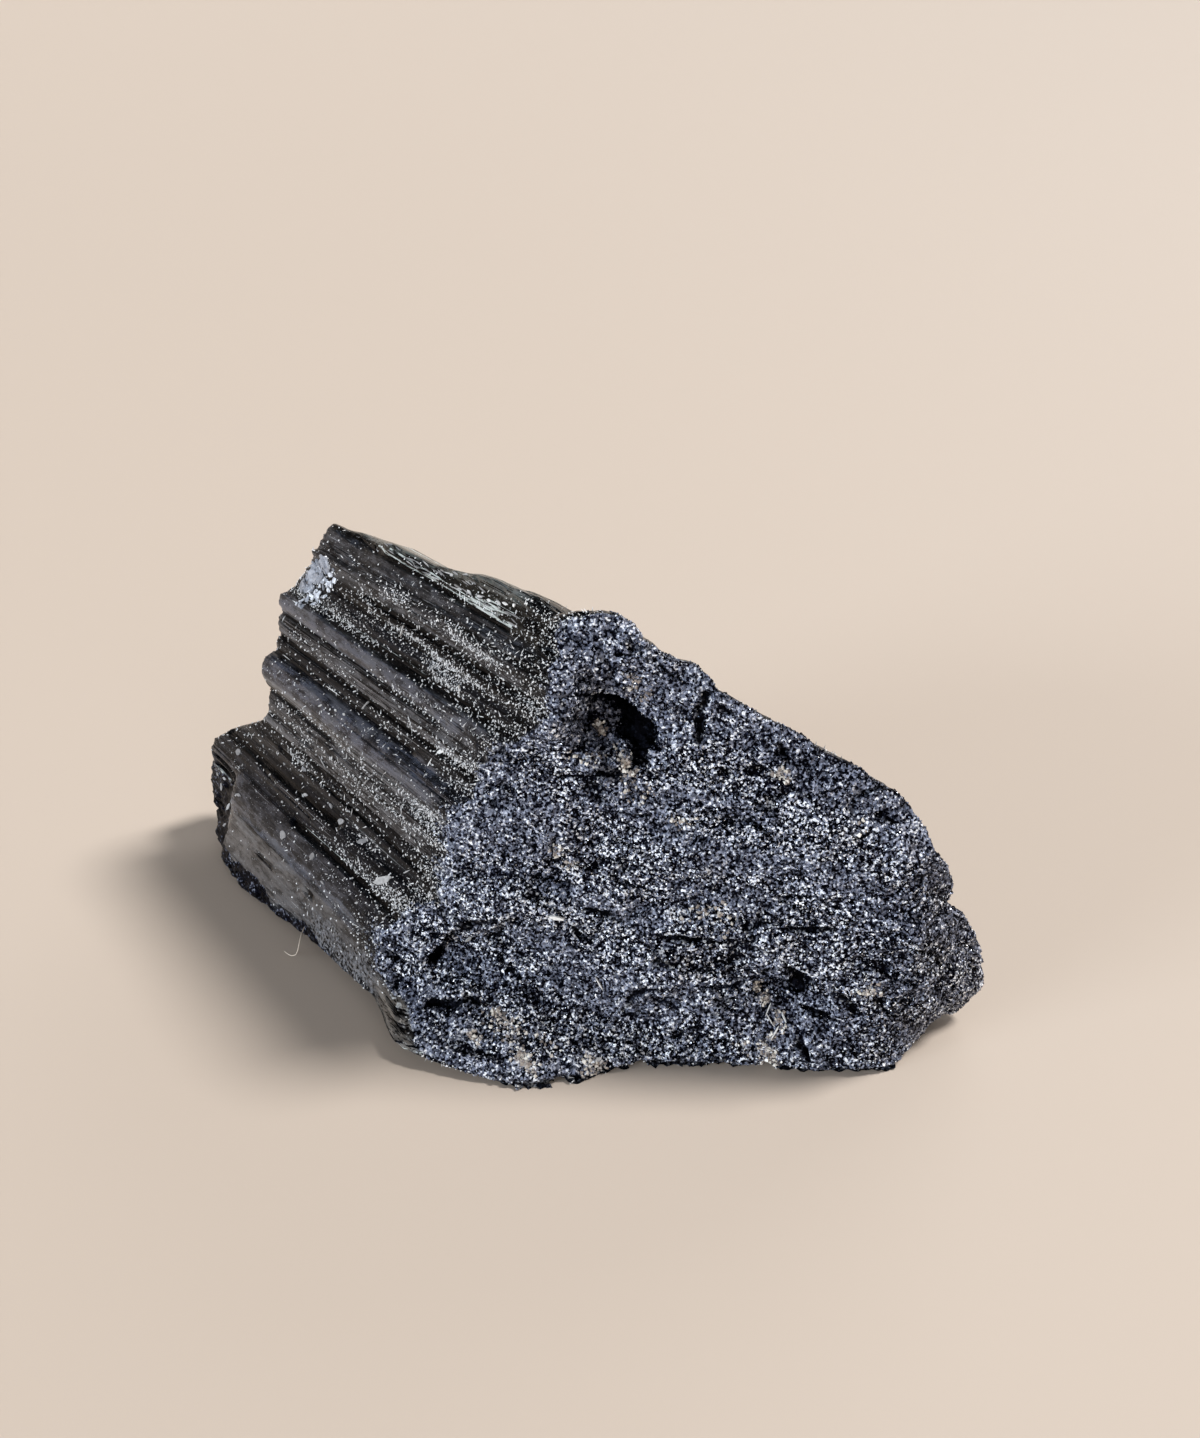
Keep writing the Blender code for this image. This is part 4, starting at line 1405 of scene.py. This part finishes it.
def plain_material(name, colour, roughness):
    material, tree, shader = new_material(name)
    place = prism_place(tree)
    tone = cloud(tree, place, 0.5, 0.5, 2.0)
    pale = tuple(min(1.0, PALER * c) for c in colour)
    dark = tuple(DARKER * c for c in colour)
    feed(tree, shader, Base_Color=mix_colour(tree, tone, dark, pale), Roughness=roughness)
    return material


grain_finish = grain_material("schorl_grain")
sparkle_finish = grain_material("schorl_sparkle", SPARKLE_SHADES, 1.0)
speck_finish = plain_material("pale_dust", SPECK, DUST_ROUGHNESS)
crumb_finish = grain_material("residue_crumb", CRUMB_SHADES)
print("grain material:", len(grain_finish.node_tree.nodes), "nodes")

# %% Scatter the grains and the dust
PER_SQUARE_METRE = 1e6  # a density given by the square millimetre, for a mesh in metres
SCATTERED = {
    # name: (note, shape, density by the square millimetre, smallest, largest, seed, finish)
    "near_break_grains": ("grain_room", shard, 14.0, 0.13, 0.38, 3, grain_finish),
    "near_break_sparkles": ("glitter", shard, 19.0, 0.09, 0.20, 13, sparkle_finish),
    "residue_crumbs": ("residue", shard, 16.0, 0.15, 0.55, 23, crumb_finish),
    "far_break_grains": ("far_core", shard, 12.0, 0.13, 0.38, 4, grain_finish),
    "side_specks": ("crowd", shard, 8.5, 0.09, 0.29, 8, speck_finish),
    "side_needles": ("crowd", needle, 3.6, 0.28, 0.85, 9, speck_finish),
}
for name, (note, shape, density, smallest, largest, seed, finish) in SCATTERED.items():
    tree = scatter_tree(name + "_tree", note)
    mesh = scatter(skin, tree, {"Shape": shape, "Density": density * PER_SQUARE_METRE, "Smallest": smallest,
                                "Largest": largest, "Seed": seed, "Material": finish})
    finished(mesh, name, finish)
    print(name, len(mesh.polygons), "faces")

# %% [markdown]
# ## Flakes, chips and mica
#
# Small things lie on the ribbed side: pale chips, a leaf-shaped splinter, and near the far end a crinkled
# patch of mica. Each is a thin plate with its own outline, pressed onto the skin where its height and its
# place along the ribs say. A ray shot at the side from the left finds the spot and how the surface faces
# there.

# %% Where a plate lies
RAY_START = -60.0
GRAIN_HEIGHT = 0.16

moved = [Vector(p) for p in points]
skin_tree = BVHTree.FromPolygons(moved, [tuple(p.vertices) for p in skin.polygons])


def spot_on_side(along, height):
    """The place and the facing of the ribbed side, there."""
    return skin_tree.ray_cast(Vector((RAY_START, along, height)), Vector((1.0, 0.0, 0.0)))[:2]


def spot_on_break(across, height):
    """The place and the facing of the wide break, there, a little above its grains."""
    place, facing = skin_tree.ray_cast(Vector((across, RAY_START, height)), Vector((0.0, 1.0, 0.0)))[:2]
    return place + facing * GRAIN_HEIGHT, facing


print("ribbed side 10 mm along and 15 mm up:", [round(c, 1) for c in spot_on_side(10.0, 15.0)[0]])

# %% Thin plates
PLATE_SIDES = 11
PLATE_THICKNESS = 0.08
PLATE_WOBBLE = 0.72


def add_plate(form, centre, facing, along, length, width, turn, rng):
    """A thin plate with an irregular outline that narrows towards the ends of its length."""
    along = (along - facing * along.dot(facing)).normalized()
    across = facing.cross(along)
    first = along * math.cos(turn) + across * math.sin(turn)
    second = across * math.cos(turn) - along * math.sin(turn)
    outline = []
    for i in range(PLATE_SIDES):
        angle = math.tau * i / PLATE_SIDES
        reach = rng.uniform(PLATE_WOBBLE, 1.0)
        narrow = math.sin(angle) * abs(math.sin(angle)) ** 0.5
        outline.append(first * (0.5 * length * math.cos(angle) * reach) + second * (0.5 * width * narrow * reach))
    low = [form.verts.new(centre + corner - facing * PLATE_THICKNESS) for corner in outline]
    high = [form.verts.new(centre + corner + facing * PLATE_THICKNESS) for corner in outline]
    form.faces.new(low)
    form.faces.new(high)
    for i in range(PLATE_SIDES):
        j = (i + 1) % PLATE_SIDES
        form.faces.new((low[i], low[j], high[j], high[i]))


def plates_mesh(name, plates, seed, spot=spot_on_side, heading=(0.0, 1.0, 0.0)):
    """One mesh of plates: place, height, length, width, turn in degrees, tilt in degrees, tone."""
    rng = np.random.default_rng(seed)
    form = bmesh.new()
    tones = []
    for along, height, length, width, turn, tilt, tone in plates:
        centre, facing = spot(along, height)
        if centre is None:
            continue
        lean = Vector((0.0, rng.normal(), rng.normal())) * math.tan(math.radians(tilt))
        facing = (facing + lean).normalized()
        add_plate(form, centre, facing, Vector(heading), length, width, math.radians(turn), rng)
        tones += [tone] * 2 * PLATE_SIDES
    bmesh.ops.recalc_face_normals(form, faces=form.faces)
    mesh = bpy.data.meshes.new(name)
    form.to_mesh(mesh)
    form.free()
    set_coordinates(mesh, to_row(coordinates(mesh)))
    write_note(mesh, "chance", np.array(tones))
    return mesh


print("plates have", PLATE_SIDES, "sides")

# %% Flakes on the ribbed side
FLAKES = [
    # along, height, length, width, turn, tilt, tone
    (5.2, 11.4, 3.0, 0.95, 35, 2, 0.62), (3.0, 12.9, 2.6, 0.13, 36, 2, 0.62),
    (10.9, 12.4, 1.6, 0.6, 38, 4, 0.5), (15.6, 12.3, 1.7, 0.65, 25, 4, 0.52),
    (18.0, 12.9, 0.9, 0.6, 10, 4, 0.45), (22.8, 12.1, 1.0, 0.36, 20, 4, 0.55),
    (24.4, 14.0, 1.1, 0.4, 0, 4, 0.5), (37.3, 11.2, 1.2, 0.8, 12, 2, 0.4), (22.4, 8.75, 1.4, 1.0, 5, 2, 0.42),
    (16.2, 9.2, 1.2, 0.8, 30, 4, 0.3), (13.2, 8.0, 0.9, 0.32, 0, 4, 0.45), (33.0, 8.6, 1.2, 0.35, 15, 4, 0.4),
    (2.5, 23.8, 1.1, 0.45, 70, 14, 0.95), (2.2, 24.0, 0.9, 0.3, 10, 14, 0.95),
    (3.3, 22.6, 1.7, 0.15, 62, 5, 0.85), (22.3, 21.3, 0.6, 0.22, 40, 4, 0.75),
    (19.7, 21.7, 0.5, 0.24, 0, 4, 0.8), (18.2, 21.8, 0.5, 0.24, 0, 4, 0.8),
    (13.4, 30.9, 1.5, 0.14, 70, 5, 0.85), (2.0, 29.3, 1.4, 0.14, 80, 5, 0.8),
    (15.7, 23.4, 1.3, 0.12, 60, 5, 0.6), (11.4, 18.0, 1.2, 0.12, 45, 5, 0.6),
    (20.5, 16.3, 2.4, 0.12, -14, 3, 0.55), (8.8, 36.9, 0.6, 0.3, 0, 10, 0.7), (6.8, 8.9, 0.5, 0.24, 30, 4, 0.6),
    (25.4, 10.6, 0.4, 0.25, 0, 4, 0.6), (28.6, 13.0, 0.5, 0.22, 0, 4, 0.6), (22.6, 22.35, 3.4, 0.1, 0, 2, 0.85),
    (33.0, 22.3, 2.2, 0.1, 0, 2, 0.75), (6.5, 36.4, 0.9, 0.22, 8, 8, 0.7), (5.0, 36.6, 0.8, 0.26, -6, 8, 0.75),
    (3.3, 36.7, 0.9, 0.24, 12, 8, 0.7), (1.8, 36.8, 0.7, 0.3, 0, 8, 0.8), (0.4, 37.0, 0.9, 0.3, -10, 8, 0.75),
    (-1.7, 37.4, 0.5, 0.35, 20, 8, 1.0), (-0.5, 37.2, 0.8, 0.28, 0, 8, 0.8),
    (36.4, 6.4, 0.9, 0.6, 60, 20, 0.55), (37.4, 5.2, 1.1, 0.55, 75, 20, 0.6),
    (38.6, 4.2, 0.8, 0.5, 40, 20, 0.5), (40.2, 6.2, 1.2, 0.6, 80, 20, 0.5), (41.4, 7.2, 0.8, 0.5, 30, 20, 0.55),
    (37.0, 3.4, 0.7, 0.4, 50, 20, 0.5), (39.6, 7.4, 0.7, 0.35, 10, 20, 0.6),
]
print("flakes listed:", len(FLAKES))

# %% [markdown]
# ## Flecks on the crest
#
# The dark part of the crest is crowded with narrow pale flecks. Scattering them as the specks are would turn
# them every way, and these follow the ribs. So they are thin plates, drawn from one seeded random source and
# laid down with the flakes.

# %% Flecks and flakes
CREST_FLECKS = 46
FLECK_ALONG = (-3.0, 21.0)
FLECK_HEIGHT = (36.15, 37.5)


def crest_flecks():
    """Narrow flecks along the ribs, on the dark part of the crest."""
    rng = np.random.default_rng(21)
    flecks = []
    for _ in range(CREST_FLECKS):
        along = rng.uniform(*FLECK_ALONG)
        height = rng.uniform(*FLECK_HEIGHT)
        length = rng.uniform(0.6, 2.2)
        turn = rng.normal() * 6.0
        flecks.append((along, height, length, rng.uniform(0.09, 0.18), turn, 6, rng.uniform(0.25, 0.70)))
    return flecks


FLAKE_ROUGHNESS = 0.4
FLAKE_SHADES = [(0.0, (0.05, 0.05, 0.055)), (0.5, (0.26, 0.26, 0.27)), (1.0, (0.85, 0.85, 0.84))]


def flake_material(name, shades, roughness):
    material, tree, shader = new_material(name)
    place = prism_place(tree)
    tone = attribute(tree, "chance") + (cloud(tree, place, 0.3, 0.5, 3.0) - 0.5) * 0.5
    feed(tree, shader, Base_Color=tone.clamped().ramp(shades), Roughness=roughness)
    return material


flake_finish = flake_material("pale_flake", FLAKE_SHADES, FLAKE_ROUGHNESS)
finished(plates_mesh("side_flakes", FLAKES + crest_flecks(), 12), "side_flakes", flake_finish)
print("flakes and flecks:", len(FLAKES) + CREST_FLECKS)

# %% [markdown]
# ## Chips and threads on the wide break
#
# A few pale chips and thin threads stick to the break. They are too few and too different to scatter, so each
# has a line in a table. They are the same thin plates as the flakes, each set where a ray from the front
# meets the break.

# %% Chips and threads
BREAK_CHIPS = [
    # place across, height, length, width, turn, tilt, tone
    (-9.7, 12.7, 1.5, 0.45, 4, 3, 1.0), (-7.2, 6.6, 1.7, 0.13, -62, 3, 0.9), (3.4, 5.2, 1.4, 0.12, 43, 3, 0.85),
    (4.3, 4.5, 1.2, 0.14, 80, 3, 0.9), (3.4, 3.5, 1.6, 0.14, 45, 3, 0.9), (3.3, 4.4, 1.5, 0.1, -78, 3, 0.8),
    (-14.6, 9.0, 0.9, 0.3, 60, 6, 0.65), (-9.3, 1.2, 0.9, 0.4, 10, 6, 0.6), (-4.4, 28.6, 0.6, 0.45, 20, 6, 0.9),
]
RIGHT = (1.0, 0.0, 0.0)

finished(plates_mesh("break_chips", BREAK_CHIPS, 14, spot_on_break, RIGHT), "break_chips", flake_finish)
print("chips:", len(BREAK_CHIPS))

# %% [markdown]
# ## The mica patch
#
# Near the far end lies a small whitish patch, like crinkled mica. A pale colour in the shader would look
# painted on. Many small plates that overlap in a slanted oval, each with its own tilt and tone, catch the
# light one by one.

# %% Mica patch
MICA_MIDDLE = (30.1, 30.6)
MICA_REACH = (3.6, 1.9)
MICA_TURN = math.radians(38.0)
MICA_PLATES = 130
MICA_UPPER = 0.35  # plates are broad and grey beyond this far across the oval
MICA_ROUGHNESS = 0.3
MICA_SHADES = [(0.0, (0.06, 0.066, 0.082)), (0.45, (0.19, 0.205, 0.24)), (0.8, (0.46, 0.49, 0.56)),
               (1.0, (0.82, 0.87, 0.95))]


def mica_plates():
    """Plates in a slanted oval: broad and grey above, small and white below."""
    rng = np.random.default_rng(17)
    plates = []
    for _ in range(MICA_PLATES):
        angle = rng.uniform(0.0, math.tau)
        reach = math.sqrt(rng.random())
        along = MICA_REACH[0] * reach * math.cos(angle)
        across = MICA_REACH[1] * reach * math.sin(angle)
        place = (MICA_MIDDLE[0] + along * math.cos(MICA_TURN) + across * math.sin(MICA_TURN),
                 MICA_MIDDLE[1] - along * math.sin(MICA_TURN) + across * math.cos(MICA_TURN))
        upper = across > MICA_UPPER
        length = rng.uniform(1.0, 1.9) if upper else rng.uniform(0.3, 1.0)
        tone = rng.uniform(0.50, 0.70) if upper else rng.uniform(0.55, 1.1)
        plates.append((*place, length, length * rng.uniform(0.4, 0.8), rng.uniform(0, 180), 10.0, tone))
    return plates


mica_finish = flake_material("mica", MICA_SHADES, MICA_ROUGHNESS)
finished(plates_mesh("mica_patch", mica_plates(), 18), "mica_patch", mica_finish)
print("mica plates:", MICA_PLATES)

# %% [markdown]
# ## A stray fibre
#
# One short fibre hangs from the foot of the ribbed side. A row of cylinders would show its joints, so it is a
# smooth curve through a few points, given a round profile and then made a plain mesh.

# %% Fibre
FIBRE_ROUTE = [(-21.6, 15.4, 2.4), (-22.4, 14.3, 2.6), (-23.0, 13.5, 2.2), (-23.3, 13.4, 1.3), (-23.4, 14.0, 0.6),
               (-23.6, 14.8, 0.3), (-23.7, 15.6, 0.4)]
FIBRE_RADIUS = 0.055
FIBRE_COLOUR = (0.60, 0.52, 0.43)


def fibre_mesh():
    curve = bpy.data.curves.new("fibre", "CURVE")
    curve.dimensions = "3D"
    curve.bevel_depth = FIBRE_RADIUS * MM
    curve.bevel_resolution = 1
    curve.use_fill_caps = True
    curve.resolution_u = 5
    line = curve.splines.new("NURBS")
    line.points.add(len(FIBRE_ROUTE) - 1)
    line.use_endpoint_u = True
    line.order_u = 4
    for point, place in zip(line.points, to_row(FIBRE_ROUTE)):
        point.co = (*place, 1.0)
    thing = add_object("fibre_curve", curve)
    mesh = plain_mesh(thing)
    bpy.data.objects.remove(thing)
    return mesh


fibre = finished(fibre_mesh(), "stray_fibre", plain_material("fibre", FIBRE_COLOUR, DUST_ROUGHNESS))
print("fibre:", len(fibre.data.polygons), "faces")

# %% [markdown]
# ## The last update
#
# The view layer is brought up to date once more at the end.

# %% Update the view layer
bpy.context.view_layer.update()
